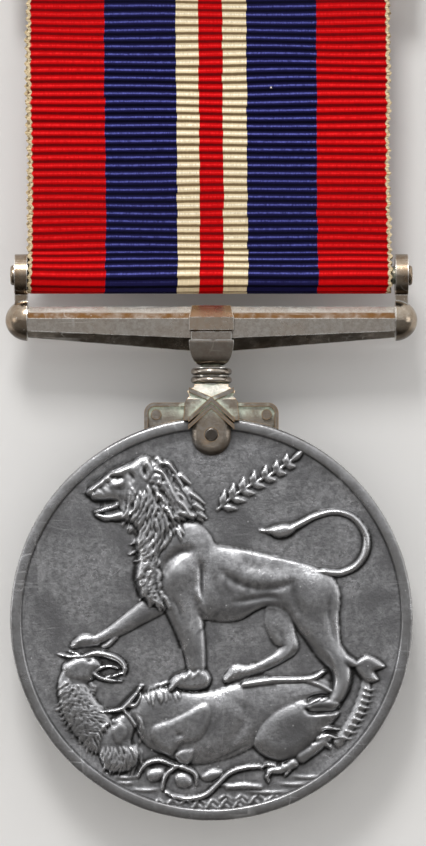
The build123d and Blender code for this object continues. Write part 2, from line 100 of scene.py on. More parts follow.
# ------------------------------------------------------------------------------ bench work
class Bench:
    """Edit-mode work on one new piece: it is added as a primitive, shaped, and finished here."""

    def __init__(self, name: str) -> None:
        """Takes the primitive that has just been added.

        Args:
            name: The piece's name.
        """
        self.piece = bpy.context.active_object
        self.piece.name = name
        self.piece.data.name = name

    @staticmethod
    def clear() -> None:
        """Deselects every object, so that an operator acts on the new piece alone."""
        for other in list(bpy.context.view_layer.objects):
            other.select_set(False)

    def hold(self) -> None:
        """Selects only this piece and makes it the active one."""
        self.clear()
        self.piece.select_set(True)
        bpy.context.view_layer.objects.active = self.piece

    def settle(self) -> None:
        """Puts the piece's place, turn and scale into its mesh."""
        self.hold()
        bpy.ops.object.transform_apply(location=True, rotation=True, scale=True)

    def select(self, mode: str, test: Callable[[object], bool]) -> None:
        """Selects elements by a test of their place or normal, and stays in edit mode.

        Args:
            mode: VERT, EDGE or FACE.
            test: What an element of the mesh has to pass.
        """
        self.hold()
        bpy.ops.object.mode_set(mode="EDIT")
        bpy.ops.mesh.select_mode(type=mode)
        bpy.ops.mesh.select_all(action="DESELECT")
        bpy.ops.object.mode_set(mode="OBJECT")
        mesh = self.piece.data
        for element in {"VERT": mesh.vertices, "EDGE": mesh.edges, "FACE": mesh.polygons}[mode]:
            element.select = bool(test(element))
        bpy.ops.object.mode_set(mode="EDIT")

    @staticmethod
    def leave() -> None:
        """Goes back to object mode."""
        bpy.ops.object.mode_set(mode="OBJECT")

    def modify(self, kind: str, **settings: object) -> None:
        """Adds a modifier and applies it.

        Args:
            kind: The modifier's type, such as BEVEL.
            settings: Its settings.
        """
        self.hold()
        modifier = self.piece.modifiers.new(kind.title(), kind)
        for key, value in settings.items():
            setattr(modifier, key, value)
        bpy.ops.object.modifier_apply(modifier=modifier.name)

    def smooth(self, degrees: float) -> None:
        """Shades the piece smooth, apart from edges sharper than an angle."""
        self.hold()
        bpy.ops.object.shade_smooth_by_angle(angle=math.radians(degrees))

    def outward(self) -> None:
        """Merges doubles and turns the faces outwards."""
        self.hold()
        bpy.ops.object.mode_set(mode="EDIT")
        bpy.ops.mesh.select_all(action="SELECT")
        bpy.ops.mesh.remove_doubles(threshold=1e-7)
        bpy.ops.mesh.normals_make_consistent(inside=False)
        self.leave()

    def coordinates(self) -> np.ndarray:
        """The piece's vertices, as an array with a row for each."""
        found = np.empty(len(self.piece.data.vertices) * 3)
        self.piece.data.vertices.foreach_get("co", found)
        return found.reshape(-1, 3)

    def place(self, points: np.ndarray) -> None:
        """Moves the piece's vertices to the rows of an array."""
        self.piece.data.vertices.foreach_set("co", np.ascontiguousarray(points, float).ravel())
        self.piece.data.update()

    def attribute(self, name: str, values: np.ndarray) -> None:
        """Gives the piece a number at each vertex, which its material reads by name."""
        made = self.piece.data.attributes.new(name, "FLOAT", "POINT")
        made.data.foreach_set("value", np.asarray(values, np.float32))

    def hand_over(self, body: Body, material: Material) -> Piece:
        """Gives the finished piece its material and body.

        Args:
            body: The body it rides on.
            material: Its material.

        Returns:
            The piece.
        """
        self.piece.data.materials.clear()
        self.piece.data.materials.append(material)
        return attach(self.piece, body.value)


# ------------------------------------------------------------------------------ node graphs
class Graph:
    """A small hand for laying out shader nodes and linking them."""

    def __init__(self, tree: bpy.types.NodeTree) -> None:
        """Works on an empty node tree.

        Args:
            tree: The tree of a material, a world or a group.
        """
        self.tree = tree
        self.count = 0

    def node(self, kind: str, **settings: object) -> bpy.types.Node:
        """Adds a node.

        Args:
            kind: Its type without the ShaderNode prefix.
            settings: Its properties.

        Returns:
            The node.
        """
        made = self.tree.nodes.new(f"ShaderNode{kind}")
        made.location = (180 * (self.count % 12), -260 * (self.count // 12))
        self.count += 1
        for key, value in settings.items():
            setattr(made, key, value)
        return made

    def put(self, socket: Socket, value: object) -> None:
        """Links an output to an input, or sets the input's own value."""
        if isinstance(value, Socket):
            self.tree.links.new(value, socket)
        elif isinstance(value, tuple) and socket.type == "RGBA" and len(value) == 3:
            socket.default_value = (*value, 1.0)
        else:
            socket.default_value = value

    def math(self, operation: str, first: object, second: object = 0.0, clamp: bool = False) -> Socket:
        """A Math node's result."""
        made = self.node("Math", operation=operation, use_clamp=clamp)
        self.put(made.inputs[0], first)
        self.put(made.inputs[1], second)
        return made.outputs[0]

    def times(self, first: object, second: object) -> Socket:
        """A product."""
        return self.math("MULTIPLY", first, second)

    def plus(self, first: object, second: object, clamp: bool = False) -> Socket:
        """A sum."""
        return self.math("ADD", first, second, clamp)

    def minus(self, first: object, second: object, clamp: bool = False) -> Socket:
        """A difference."""
        return self.math("SUBTRACT", first, second, clamp)

    def sway(self, value: object, amount: float) -> Socket:
        """A value from 0 to 1, turned into one on both sides of 0."""
        return self.times(self.minus(value, 0.5), amount)

    def axes(self, place: object) -> bpy.types.NodeOutputs:
        """A vector's parts, by the names X, Y and Z."""
        made = self.node("SeparateXYZ")
        self.put(made.inputs[0], place)
        return made.outputs

    def pair(self, across: object, along: object) -> Socket:
        """A vector of two values."""
        made = self.node("CombineXYZ")
        self.put(made.inputs["X"], across)
        self.put(made.inputs["Y"], along)
        return made.outputs[0]

    def bump(self, height: object, depth: float, shader: bpy.types.Node) -> None:
        """Gives a shader a bump, a number of millimetres deep."""
        made = self.node("Bump")
        made.inputs["Strength"].default_value = 1.0
        made.inputs["Distance"].default_value = depth * MM
        self.put(made.inputs["Height"], height)
        self.put(shader.inputs["Normal"], made.outputs["Normal"])

    def spread(
        self, value: object, low: float | Socket, high: float | Socket, to_low: float = 0.0,
        to_high: float = 1.0,
    ) -> Socket:
        """A value mapped smoothly from one range to another, and held to it."""
        made = self.node("MapRange", interpolation_type="SMOOTHSTEP")
        self.put(made.inputs["Value"], value)
        for key, number in (("From Min", low), ("From Max", high), ("To Min", to_low), ("To Max", to_high)):
            self.put(made.inputs[key], number)
        return made.outputs["Result"]

    def mix(self, share: object, first: object, second: object, blend: str = "MIX") -> Socket:
        """Two colours mixed by a share."""
        made = self.node("Mix", data_type="RGBA", blend_type=blend)
        self.put(made.inputs[0], share)
        self.put(made.inputs[6], first)
        self.put(made.inputs[7], second)
        return made.outputs[2]

    def noise(
        self, place: object, scale: float | Socket, detail: float = 3.0, rough: float = 0.5,
        twist: float = 0.0,
    ) -> Socket:
        """Noise at a number of features per millimetre."""
        made = self.node("TexNoise")
        numbers = {"Vector": place, "Scale": scale, "Detail": detail, "Roughness": rough, "Distortion": twist}
        for key, number in numbers.items():
            self.put(made.inputs[key], number)
        return made.outputs["Fac"]

    def millimetres(self, stretch: Triple = (1, 1, 1), turn: Triple = (0, 0, 0)) -> Socket:
        """The piece's own coordinates in millimetres, stretched and turned."""
        where = self.node("TexCoord")
        made = self.node("Mapping")
        self.put(made.inputs["Vector"], where.outputs["Object"])
        made.inputs["Scale"].default_value = tuple(s / MM for s in stretch)
        made.inputs["Rotation"].default_value = turn
        return made.outputs["Vector"]

    def ramp(
        self, value: object, stops: Sequence[tuple[float, Colour]], interpolation: str = "LINEAR",
    ) -> Socket:
        """A value turned into colours, blended between the stops unless the interpolation is CONSTANT."""
        made = self.node("ValToRGB")
        self.put(made.inputs[0], value)
        bar = made.color_ramp
        bar.interpolation = interpolation
        while len(bar.elements) < len(stops):
            bar.elements.new(0.5)
        for element, (position, colour) in zip(bar.elements, stops):
            element.position = position
            element.color = (*colour, 1.0)
        return made.outputs[0]


class Effects:
    """The effects that several finishes share, each a node group built once."""

    def __init__(self) -> None:
        """Starts with no groups."""
        self.made: dict[str, bpy.types.NodeTree] = {}

    def group(self, name: str, **inputs: float) -> tuple[Graph, bpy.types.Node, bpy.types.Node]:
        """Starts a group that makes a mask.

        Args:
            name: Its name.
            inputs: Each input's value, by its name.

        Returns:
            The group's graph, its input node and its output node.
        """
        tree = bpy.data.node_groups.new(name, "ShaderNodeTree")
        for label, value in inputs.items():
            socket = tree.interface.new_socket(name=label, in_out="INPUT", socket_type="NodeSocketFloat")
            socket.default_value = value
        tree.interface.new_socket(name="Mask", in_out="OUTPUT", socket_type="NodeSocketFloat")
        graph = Graph(tree)
        entry = tree.nodes.new("NodeGroupInput")
        leave = tree.nodes.new("NodeGroupOutput")
        self.made[name] = tree
        return graph, entry, leave

    def mask(self, graph: Graph, name: str, **values: object) -> Socket:
        """Puts a group in a material, with its own values.

        Args:
            graph: The material's graph.
            name: The group's name.
            values: The values of its inputs, by their names.

        Returns:
            The group's mask.
        """
        if name not in self.made:
            getattr(self, "build_" + name.lower().replace(" ", "_"))()
        made = graph.node("Group", node_tree=self.made[name])
        for key, value in values.items():
            graph.put(made.inputs[key], value)
        return made.outputs["Mask"]

    def build_grime(self) -> None:
        """Grime And Shade: a mask of corners and gaps from ambient occlusion, where corrosion and dirt gather
        and where shade falls; the darkening it drives is partly painted shade.
        """
        graph, entry, leave = self.group("Grime", Reach=0.0006, Low=0.35, High=0.8, Patches=1.2)
        shade = graph.node("AmbientOcclusion", samples=8, inside=False, only_local=False)
        graph.put(shade.inputs["Distance"], entry.outputs["Reach"])
        hidden = graph.minus(1.0, shade.outputs["AO"])
        patches = graph.noise(graph.millimetres(), entry.outputs["Patches"], 5.0, 0.65)
        patchy = graph.plus(hidden, graph.sway(patches, 0.9))
        graph.put(leave.inputs["Mask"], graph.spread(patchy, entry.outputs["Low"], entry.outputs["High"]))

    def build_edge_wear(self) -> None:
        """Edge Wear: a mask of the edges, broken up as handling leaves them."""
        graph, entry, leave = self.group("Edge Wear", Width=0.00012, Break=2.5)
        rounded = graph.node("Bevel", samples=6)
        graph.put(rounded.inputs["Radius"], entry.outputs["Width"])
        flat = graph.node("NewGeometry")
        together = graph.node("VectorMath", operation="DOT_PRODUCT")
        graph.put(together.inputs[0], rounded.outputs["Normal"])
        graph.put(together.inputs[1], flat.outputs["Normal"])
        bent = graph.minus(1.0, together.outputs["Value"])
        gaps = graph.noise(graph.millimetres(), entry.outputs["Break"])
        broken = graph.times(bent, graph.spread(gaps, 0.3, 0.62))
        graph.put(leave.inputs["Mask"], graph.spread(broken, 0.008, 0.06))

    def build_scratches(self) -> None:
        """Scratches: fine hairlines in three directions, as a mask."""
        graph, entry, leave = self.group("Scratches", Density=0.5)
        lines = []
        for turn, stretch in ((0.35, (0.07, 1, 0.50)), (-0.8, (0.60, 1, 0.06)), (1.15, (0.05, 1, 0.75))):
            where = graph.millimetres(stretch, (0, turn, 0))
            fine = graph.noise(where, 0.8, 0.0)
            off = graph.math("ABSOLUTE", graph.minus(fine, 0.5))
            lines.append(graph.spread(off, 0.016, 0.004))
        both = graph.math("MAXIMUM", graph.math("MAXIMUM", lines[0], lines[1]), lines[2])
        some = graph.spread(graph.noise(graph.millimetres(), 0.35, 3.0), 0.50, 0.70)
        graph.put(leave.inputs["Mask"], graph.times(graph.times(both, some), entry.outputs["Density"]))

    def build_speckle(self) -> None:
        """Speckle: scattered pits and bright specks, as a mask."""
        graph, entry, leave = self.group("Speckle", Spacing=2.0, Size=0.12)
        cells = graph.node("TexVoronoi", feature="F1", distance="EUCLIDEAN")
        graph.put(cells.inputs["Vector"], graph.millimetres())
        graph.put(cells.inputs["Scale"], entry.outputs["Spacing"])
        apart = graph.node("SeparateColor")
        graph.put(apart.inputs[0], cells.outputs["Color"])
        size = graph.times(graph.spread(apart.outputs[0], 0.55, 1.0), entry.outputs["Size"])
        dot = graph.math("LESS_THAN", cells.outputs["Distance"], size)
        graph.put(leave.inputs["Mask"], dot)


# ------------------------------------------------------------------------------ finishes
def new_material(name: str) -> tuple[Material, Graph, bpy.types.Node]:
    """Starts a material with a Principled shader.

    Args:
        name: The material's name.

    Returns:
        The material, its graph and its shader.
    """
    made = bpy.data.materials.new(name)
    made.use_nodes = True
    made.node_tree.nodes.clear()
    graph = Graph(made.node_tree)
    shader = graph.node("BsdfPrincipled")
    out = graph.node("OutputMaterial")
    graph.put(out.inputs["Surface"], shader.outputs[0])
    return made, graph, shader


@dataclass(frozen=True)
class WornMetal:
    """A metal that has been handled and has toned, with painted shade in its corners, hollows and down-facing
    faces: colours are linear, amounts run from 0 to 1.
    """

    base: Colour
    toned: Colour
    dirt_and_shade: Colour
    bright: Colour
    corrosion: Colour = (0.50, 0.53, 0.43)
    roughness: float = 0.34
    toning: float = 0.6
    facets: float = 0.0
    under: float = 0.0
    band: tuple[float, float] | None = None
    clean_below: float | None = None
    dirt_and_shade_share: float = 0.8
    reach: float = 0.7
    corroded: float = 0.0
    wear: float = 0.7
    scratched: float = 0.5
    specks: float = 0.4
    grain: float = 0.4
    mottle: float = 0.3
    carved: bool = False

    def material(self, name: str, effects: Effects) -> Material:
        """Builds the finish's material.

        Args:
            name: The material's name.
            effects: The shared effects.

        Returns:
            The material.
        """
        made, graph, shader = new_material(name)
        where = graph.millimetres()
        clouds = graph.noise(where, 0.22, 5.0, 0.62, 0.3)
        fine = graph.noise(where, 2.6, 4.0, 0.7)
        toning = graph.times(graph.spread(clouds, 0.36, 0.66), self.toning)
        colour = graph.mix(toning, self.base, self.toned)
        colour = graph.mix(graph.times(graph.spread(fine, 0.3, 0.7), self.mottle), colour, self.toned)
        dull = graph.times(graph.spread(clouds, 0.3, 0.7), 0.10)
        if self.facets or self.under:
            colour = self.tone_and_shade_by_slope(graph, where, fine, colour)
        if self.carved:
            # Hollows of the relief darken: partly patina, partly painted shade. Crests brighten as wear.
            hollow = graph.node("Attribute", attribute_name="hollow").outputs["Fac"]
            crest = graph.node("Attribute", attribute_name="crest").outputs["Fac"]
            colour = graph.mix(graph.times(hollow, self.dirt_and_shade_share), colour, self.dirt_and_shade)
            colour = graph.mix(graph.times(crest, self.wear), colour, self.bright)
            dull = graph.minus(graph.plus(dull, graph.times(hollow, 0.18)), graph.times(crest, 0.08))
        worn = graph.times(effects.mask(graph, "Edge Wear", Width=0.16 * MM, Break=1.2), self.wear)
        colour = graph.mix(worn, colour, self.bright)
        # Ambient occlusion darkens corners and gaps towards the near-black colour: partly dirt, partly
        # painted shade.
        grime = effects.mask(graph, "Grime", Reach=self.reach * MM, Low=0.30, High=0.85, Patches=1.3)
        soiled_and_shaded = graph.times(grime, self.dirt_and_shade_share)
        colour = graph.mix(soiled_and_shaded, colour, self.dirt_and_shade)
        dull = graph.plus(dull, graph.times(soiled_and_shaded, 0.25))
        lines = effects.mask(graph, "Scratches", Density=self.scratched)
        colour = graph.mix(lines, colour, self.bright)
        dots = effects.mask(graph, "Speckle", Spacing=1.5, Size=0.10)
        colour = graph.mix(graph.times(dots, self.specks), colour, self.bright)
        metallic: object = 1.0
        if self.corroded:
            film = self.crust(graph, effects, where, worn)
            rust = graph.spread(graph.noise(where, 1.7, 5.0, 0.7), 0.35, 0.65)
            pale = tuple(c * 1.55 for c in self.corrosion)
            colour = graph.mix(film, colour, graph.mix(rust, self.corrosion, pale))
            dull = graph.plus(dull, graph.times(film, 0.4))
            metallic = graph.minus(1.0, graph.times(film, 0.85))
        graph.put(shader.inputs["Base Color"], colour)
        graph.put(shader.inputs["Metallic"], metallic)
        graph.put(shader.inputs["Roughness"], graph.plus(dull, self.roughness, clamp=True))
        grain = graph.times(graph.noise(where, 5.0, 4.0, 0.7), self.grain * 2.0)
        height = graph.minus(graph.minus(grain, graph.times(lines, 0.7)), graph.times(dots, 0.6))
        graph.bump(height, 0.012, shader)
        return made

    def tone_and_shade_by_slope(self, graph: Graph, where: Socket, fine: Socket, colour: Socket) -> Socket:
        """Browns the slopes, within a band of heights if there is one, partly as tarnish and partly as
        painted reflection, and darkens what faces down as painted shade.

        Args:
            graph: The material's graph.
            where: The piece's coordinates.
            fine: A fine noise over the piece.
            colour: The colour so far.

        Returns:
            The new colour.
        """
        # Sloping faces go brown by how they face: partly tarnish, partly painted reflection.
        facing = graph.axes(graph.node("TexCoord").outputs["Normal"])["Z"]
        lean = graph.spread(graph.math("ABSOLUTE", facing), 0.22, 0.55)
        lean = graph.times(lean, graph.spread(graph.noise(where, 0.7, 4.0, 0.6), 0.25, 0.6, 0.35, 1.0))
        if self.band:
            bottom, top = self.band
            ragged = graph.plus(graph.axes(where)["Z"], graph.sway(fine, 0.12))
            over = graph.spread(ragged, bottom - 0.04, bottom + 0.04)
            below = graph.spread(ragged, top + 0.07, top - 0.07)
            lean = graph.times(lean, graph.times(over, below))
        colour = graph.mix(graph.times(lean, self.facets), colour, self.toned)
        # Faces that point down go darker: painted shade.
        low = graph.spread(facing, -0.30, -0.62)
        low = graph.times(low, graph.spread(graph.noise(where, 1.1, 4.0, 0.6), 0.2, 0.6, 0.7, 1.0))
        return graph.mix(graph.times(low, self.under), colour, tuple(c * 1.6 for c in self.dirt_and_shade))

    def crust(self, graph: Graph, effects: Effects, where: Socket, worn: Socket) -> Socket:
        """The share of corrosion at each place, less at worn edges and under the clean height.

        Args:
            graph: The material's graph.
            effects: The shared effects.
            where: The piece's coordinates.
            worn: The share of edge wear.

        Returns:
            The share.
        """
        low, high = 0.62 - 0.66 * self.corroded, 0.95 - 0.5 * self.corroded
        crust = effects.mask(graph, "Grime", Reach=1.5 * MM, Low=low, High=high, Patches=1.5)
        film = graph.times(crust, min(1.0, 0.55 + self.corroded))
        film = graph.times(film, graph.minus(1.0, graph.times(worn, 0.85), clamp=True))
        if self.clean_below is not None:
            start, full = self.clean_below - 0.5, self.clean_below + 0.4
            film = graph.times(film, graph.spread(graph.axes(where)["Z"], start, full, 0.12, 1.0))
        return film


@dataclass(frozen=True)
class Stripe:
    """One stripe of the ribbon: its width, and its colours on a rib, between ribs and in gleams, which are
    painted light, painted shade and painted highlights.
    """

    width: float
    crown: Colour
    valley: Colour
    gleam: Colour


@dataclass(frozen=True)
class CordedCloth:
    """The ribbon's corded weave, read from its own map: across, then along in ribs, with painted light on the
    ribs, painted shade between them and painted gleams.
    """

    stripes: tuple[Stripe, ...]
    selvedge: Stripe
    width: float
    ribs: float
    threads_per_mm: float = 5.5
    roughness: float = 0.76
    lint: Colour = (0.8, 0.72, 0.66)
    gleams_above: tuple[float, float] = (-27.15, -26.55)

    def material(self, name: str, effects: Effects) -> Material:
        """Builds the weave's material.

        Args:
            name: The material's name.
            effects: The shared effects.

        Returns:
            The material.
        """
        made, graph, shader = new_material(name)
        laid = graph.axes(graph.node("TexCoord").outputs["UV"])
        across = graph.times(graph.minus(laid["X"], 0.5), self.width)
        along = graph.times(laid["Y"], self.ribs)
        crown = graph.times(graph.plus(graph.math("COSINE", graph.times(along, 2 * math.pi)), 1.0), 0.5)
        step = graph.pair(graph.times(across, 0.25), graph.times(graph.math("ROUND", along), 3.7))
        tooth = graph.sway(graph.noise(step, 1.0, 1.0), 0.35)
        thread = graph.pair(graph.times(across, self.threads_per_mm), graph.times(along, 0.9))
        threads = graph.noise(thread, 1.0, 3.0, 0.65)
        fibre = graph.pair(graph.times(across, 2.2), graph.times(along, 5.0))
        fibres = graph.noise(fibre, 1.0, 4.0, 0.7)
        place = graph.plus(graph.math("DIVIDE", graph.plus(across, tooth), self.width), 0.5)
        # The ribs' crowns take the lit colour and the valleys the shaded one: painted light and shade; the
        # gleams above the rod are painted highlights.
        low, high, lit = (self.striped(graph, place, part) for part in ("valley", "crown", "gleam"))
        rise = graph.plus(crown, graph.sway(fibres, 0.35))
        colour = graph.mix(graph.spread(rise, 0.05, 0.62), low, high)
        gleam = graph.times(graph.spread(rise, 0.80, 1.04), graph.spread(threads, 0.30, 0.62, 0.35, 1.0))
        over_rod = graph.spread(graph.axes(graph.millimetres())["Z"], *self.gleams_above)
        colour = graph.mix(graph.times(graph.times(gleam, over_rod), 0.8), colour, lit)
        rim = graph.plus(graph.math("ABSOLUTE", across), graph.sway(threads, 0.25))
        loops = graph.spread(rim, self.width / 2 - 0.30, self.width / 2 - 0.20)
        thrums = graph.mix(graph.spread(fibres, 0.3, 0.6), self.selvedge.valley, self.selvedge.crown)
        colour = graph.mix(loops, colour, thrums)
        # Random threads are brightened as a painted sheen.
        shine = graph.times(graph.spread(threads, 0.35, 0.75), 0.25)
        colour = graph.mix(shine, colour, graph.mix(1.0, colour, (1.6, 1.6, 1.6), "MULTIPLY"))
        lint = effects.mask(graph, "Speckle", Spacing=0.16, Size=0.02)
        colour = graph.mix(graph.times(lint, 0.7), colour, self.lint)
        graph.put(shader.inputs["Base Color"], colour)
        rough = graph.spread(fibres, 0.2, 0.8, self.roughness - 0.08, self.roughness + 0.12)
        graph.put(shader.inputs["Roughness"], rough)
        shader.inputs["Specular IOR Level"].default_value = 0.05
        graph.bump(graph.plus(threads, graph.times(fibres, 0.8)), 0.02, shader)
        return made

    def striped(self, graph: Graph, place: Socket, part: str) -> Socket:
        """The stripes' colours across the ribbon.

        Args:
            graph: The material's graph.
            place: The place across, from 0 to 1.
            part: Which of a stripe's colours: crown, valley or gleam.

        Returns:
            The colour.
        """
        whole = sum(s.width for s in self.stripes)
        stops, edge = [], 0.0
        for stripe in self.stripes:
            stops.append((edge / whole, getattr(stripe, part)))
            edge += stripe.width
        return graph.ramp(place, stops, "CONSTANT")


@dataclass(frozen=True)
class TwistedThread:
    """Sewing thread, with its plies as slanted bands."""

    colour: Colour = (0.72, 0.66, 0.54)
    shadow: Colour = (0.34, 0.29, 0.21)

    def material(self, name: str) -> Material:
        """Builds the thread's material.

        Args:
            name: The material's name.

        Returns:
            The material.
        """
        made, graph, shader = new_material(name)
        bands = graph.node("TexWave", wave_type="BANDS", bands_direction="X")
        graph.put(bands.inputs["Vector"], graph.millimetres(turn=(0, 0.7, 0)))
        bands.inputs["Scale"].default_value = 1.6
        bands.inputs["Distortion"].default_value = 0.8
        graph.put(shader.inputs["Base Color"], graph.mix(bands.outputs["Fac"], self.shadow, self.colour))
        shader.inputs["Roughness"].default_value = 0.7
        graph.bump(bands.outputs["Fac"], 0.03, shader)
        return made


# ------------------------------------------------------------------------------ struck relief
def flowing(points: Points, closed: bool = False, steps: int = 8) -> np.ndarray:
    """Runs a smooth line through points, and their other columns with it.

    Args:
        points: Rows that begin with x and z.
        closed: Whether the line comes back to its first point.
        steps: Points for each stretch.

    Returns:
        The line's points, with all the columns.
    """
    rows = np.asarray(points, float)
    count = len(rows)
    share = np.linspace(0, 1, steps, endpoint=False)[:, None]
    found = []
    for i in range(count if closed else count - 1):
        here, ahead = rows[i % count], rows[(i + 1) % count]
        before = rows[i - 1] if closed or i > 0 else 2 * here - ahead
        beyond = rows[(i + 2) % count] if closed or i + 2 < count else 2 * ahead - here
        found.append(
            0.5
            * (
                2 * here
                + (ahead - before) * share
                + (2 * before - 5 * here + 4 * ahead - beyond) * share**2
                + (3 * here - before - 3 * ahead + beyond) * share**3
            )
        )
    line = np.concatenate(found)
    return line if closed else np.vstack([line, rows[-1]])


class Die:
    """The relief of one face, as a height above the field at each of its points, in millimetres."""

    SOFT_FROM = 0.08  # the height from which a join is softened in full
    RAISED = 0.05  # the height from which a swell shows in full
    UNDER_HAIR = 0.1  # the height from which locks lie on what is there

    def __init__(self, x: np.ndarray, z: np.ndarray, seed: int = 7) -> None:
        """Starts with a plain field.

        Args:
            x: Each point's place across the face, from its centre.
            z: Each point's place up the face, from its centre.
            seed: The seed of the small differences between locks.
        """
        self.x, self.z = x, z
        self.height = np.zeros_like(x)
        self.ground = self.height
        self.chance = np.random.default_rng(seed)

    def near(self, low: np.ndarray, high: np.ndarray) -> np.ndarray:
        """Which points lie in a box."""
        return (self.x > low[0]) & (self.x < high[0]) & (self.z > low[1]) & (self.z < high[1])

    def along(self, chosen: np.ndarray, path: np.ndarray) -> tuple[np.ndarray, np.ndarray]:
        """Measures points against a path.

        Args:
            chosen: Which points.
            path: Rows of x, z and any other columns.

        Returns:
            Each point's distance from the path, and the other columns there, with its share of
            the path's length as the last.
        """
        px, pz = self.x[chosen], self.z[chosen]
        best = np.full(px.shape, 1e9)
        columns = np.zeros((path.shape[1] - 1, *px.shape))
        count = len(path) - 1
        for i in range(count):
            start, run = path[i], path[i + 1] - path[i]
            ahead = (px - start[0]) * run[0] + (pz - start[1]) * run[1]
            share = np.clip(ahead / max(run[:2] @ run[:2], 1e-12), 0, 1)
            away = np.hypot(px - start[0] - share * run[0], pz - start[1] - share * run[1])
            closer = away < best
            best = np.where(closer, away, best)
            for c in range(path.shape[1] - 2):
                columns[c] = np.where(closer, start[2 + c] + share * run[2 + c], columns[c])
            columns[-1] = np.where(closer, (i + share) / count, columns[-1])
        return best, columns

    def within(self, px: np.ndarray, pz: np.ndarray, ring: np.ndarray) -> np.ndarray:
        """Which of these points lie inside a closed line."""
        found = np.zeros(px.shape, bool)
        for (x1, z1), (x2, z2) in zip(ring[:, :2], np.roll(ring[:, :2], -1, 0)):
            if z1 != z2:
                found ^= ((z1 > pz) != (z2 > pz)) & (px < (x2 - x1) * (pz - z1) / (z2 - z1) + x1)
        return found

    def lay(self, chosen: np.ndarray, form: np.ndarray, blend: float) -> None:
        """Lays a form on the relief, with a soft join where both are raised."""
        old = self.height[chosen]
        soft = blend * np.clip(form / self.SOFT_FROM, 0, 1) * np.clip(old / self.SOFT_FROM, 0, 1) + 1e-6
        new = np.maximum(old, form) + np.maximum(soft - np.abs(old - form), 0) ** 2 / (4 * soft)
        self.height[chosen] = np.where(form > 0, new, old)

    def limb(self, points: Points, blend: float = 0.02) -> None:
        """Lays a rounded form along a line.

        Args:
            points: Rows of x, z, radius and height.
            blend: How softly it joins what it crosses.
        """
        path = flowing(points, steps=12)
        radius = path[:, 2].max()
        chosen = self.near(path[:, :2].min(0) - radius, path[:, :2].max(0) + radius)
        away, columns = self.along(chosen, path)
        inside = np.clip(1 - (away / np.maximum(columns[0], 1e-6)) ** 2, 0, 1)
        self.lay(chosen, columns[1] * inside**0.5, blend)

    def mass(self, outline: Points, top: float, edge: float, blend: float = 0.05) -> None:
        """Lays a form that fills an outline.

        Args:
            outline: Rows of x and z.
            top: Its height.
            edge: How far in from its outline it is rounded.
            blend: How softly it joins what it crosses.
        """
        ring = flowing(outline, closed=True, steps=6)
        chosen = self.near(ring.min(0), ring.max(0))
        inside = self.within(self.x[chosen], self.z[chosen], ring)
        away, _ = self.along(chosen, np.vstack([ring, ring[:1]]))
        rise = np.clip(1 - (1 - np.clip(away / edge, 0, 1)) ** 2, 0, 1) ** 0.5
        self.lay(chosen, np.where(inside, top * rise, 0), blend)

    def swells(self, *ovals: tuple[float, float, float, float, float, float]) -> None:
        """Raises or sinks oval parts of what is already raised.

        Args:
            ovals: For each its middle across and upwards, its half-length and half-width, its angle
                in degrees, and how much it rises, or sinks if negative.
        """
        for oval in ovals:
            self.swell(*oval)

    def swell(self, x: float, z: float, long: float, wide: float, turn: float, amount: float) -> None:
        """Raises or sinks one oval, as swells says."""
        reach = 2.4 * max(long, wide)
        chosen = self.near((x - reach, z - reach), (x + reach, z + reach))
        dx, dz = self.x[chosen] - x, self.z[chosen] - z
        c, s = math.cos(math.radians(turn)), math.sin(math.radians(turn))
        bell = np.exp(-(((dx * c + dz * s) / long) ** 2) - ((dz * c - dx * s) / wide) ** 2)
        self.height[chosen] += amount * bell * np.clip(self.height[chosen] / self.RAISED, 0, 1)

    def stroke(
        self, points: Points, width: float, amount: float, only_on: float = 0.05, taper: float = 0.4,
    ) -> None:
        """Draws a ridge or a groove that fades at its ends.

        Args:
            points: Rows of x and z.
            width: Its half-width.
            amount: Its height, or its depth if negative.
            only_on: The height from which it is drawn in full.
            taper: The share of its length over which each end fades.
        """
        path = flowing(points, steps=6)
        chosen = self.near(path.min(0) - 2.5 * width, path.max(0) + 2.5 * width)
        away, columns = self.along(chosen, path)
        fade = np.clip(np.minimum(columns[-1], 1 - columns[-1]) / taper, 0, 1)
        ridge = np.exp(-((away / width) ** 2)) * fade * fade * (3 - 2 * fade)
        held = np.clip(self.height[chosen] / only_on, 0, 1) if only_on else 1
        self.height[chosen] += amount * ridge * held

    def lock(
        self, x: float, z: float, turn: float, length: float, width: float, height: float, wave: float,
    ) -> None:
        """Lays one tapered, slightly waved lock of hair or feather.

        Args:
            x: Its root, across.
            z: Its root, upwards.
            turn: Its direction, in radians.
            length: Its length.
            width: Its half-width.
            height: Its height over what it lies on.
            wave: Its sideways wave, as a share of its length.
        """
        c, s = math.cos(turn), math.sin(turn)
        points = []
        for t in (0, 0.35, 0.7, 1):
            bow = wave * length * math.sin(1.4 * math.pi * t)
            points.append((x + c * length * t - s * bow, z + s * length * t + c * bow))
        path = flowing(points, steps=4)
        chosen = self.near(path.min(0) - width, path.max(0) + width)
        if not chosen.any():
            return
        away, columns = self.along(chosen, path)
        t = columns[-1]
        breadth = width * np.clip(np.sin(np.pi * np.clip(0.2 + 0.78 * t, 0, 1)), 0.02, 1) ** 0.8
        inside = np.clip(1 - (away / breadth) ** 2, 0, 1) ** 0.6
        old = self.height[chosen]
        base = np.where(old > self.UNDER_HAIR, self.ground[chosen], 0.0)
        laid = base + height * inside * (0.7 + 0.45 * t)
        self.height[chosen] = np.where(inside > 0, np.maximum(old, laid), old)

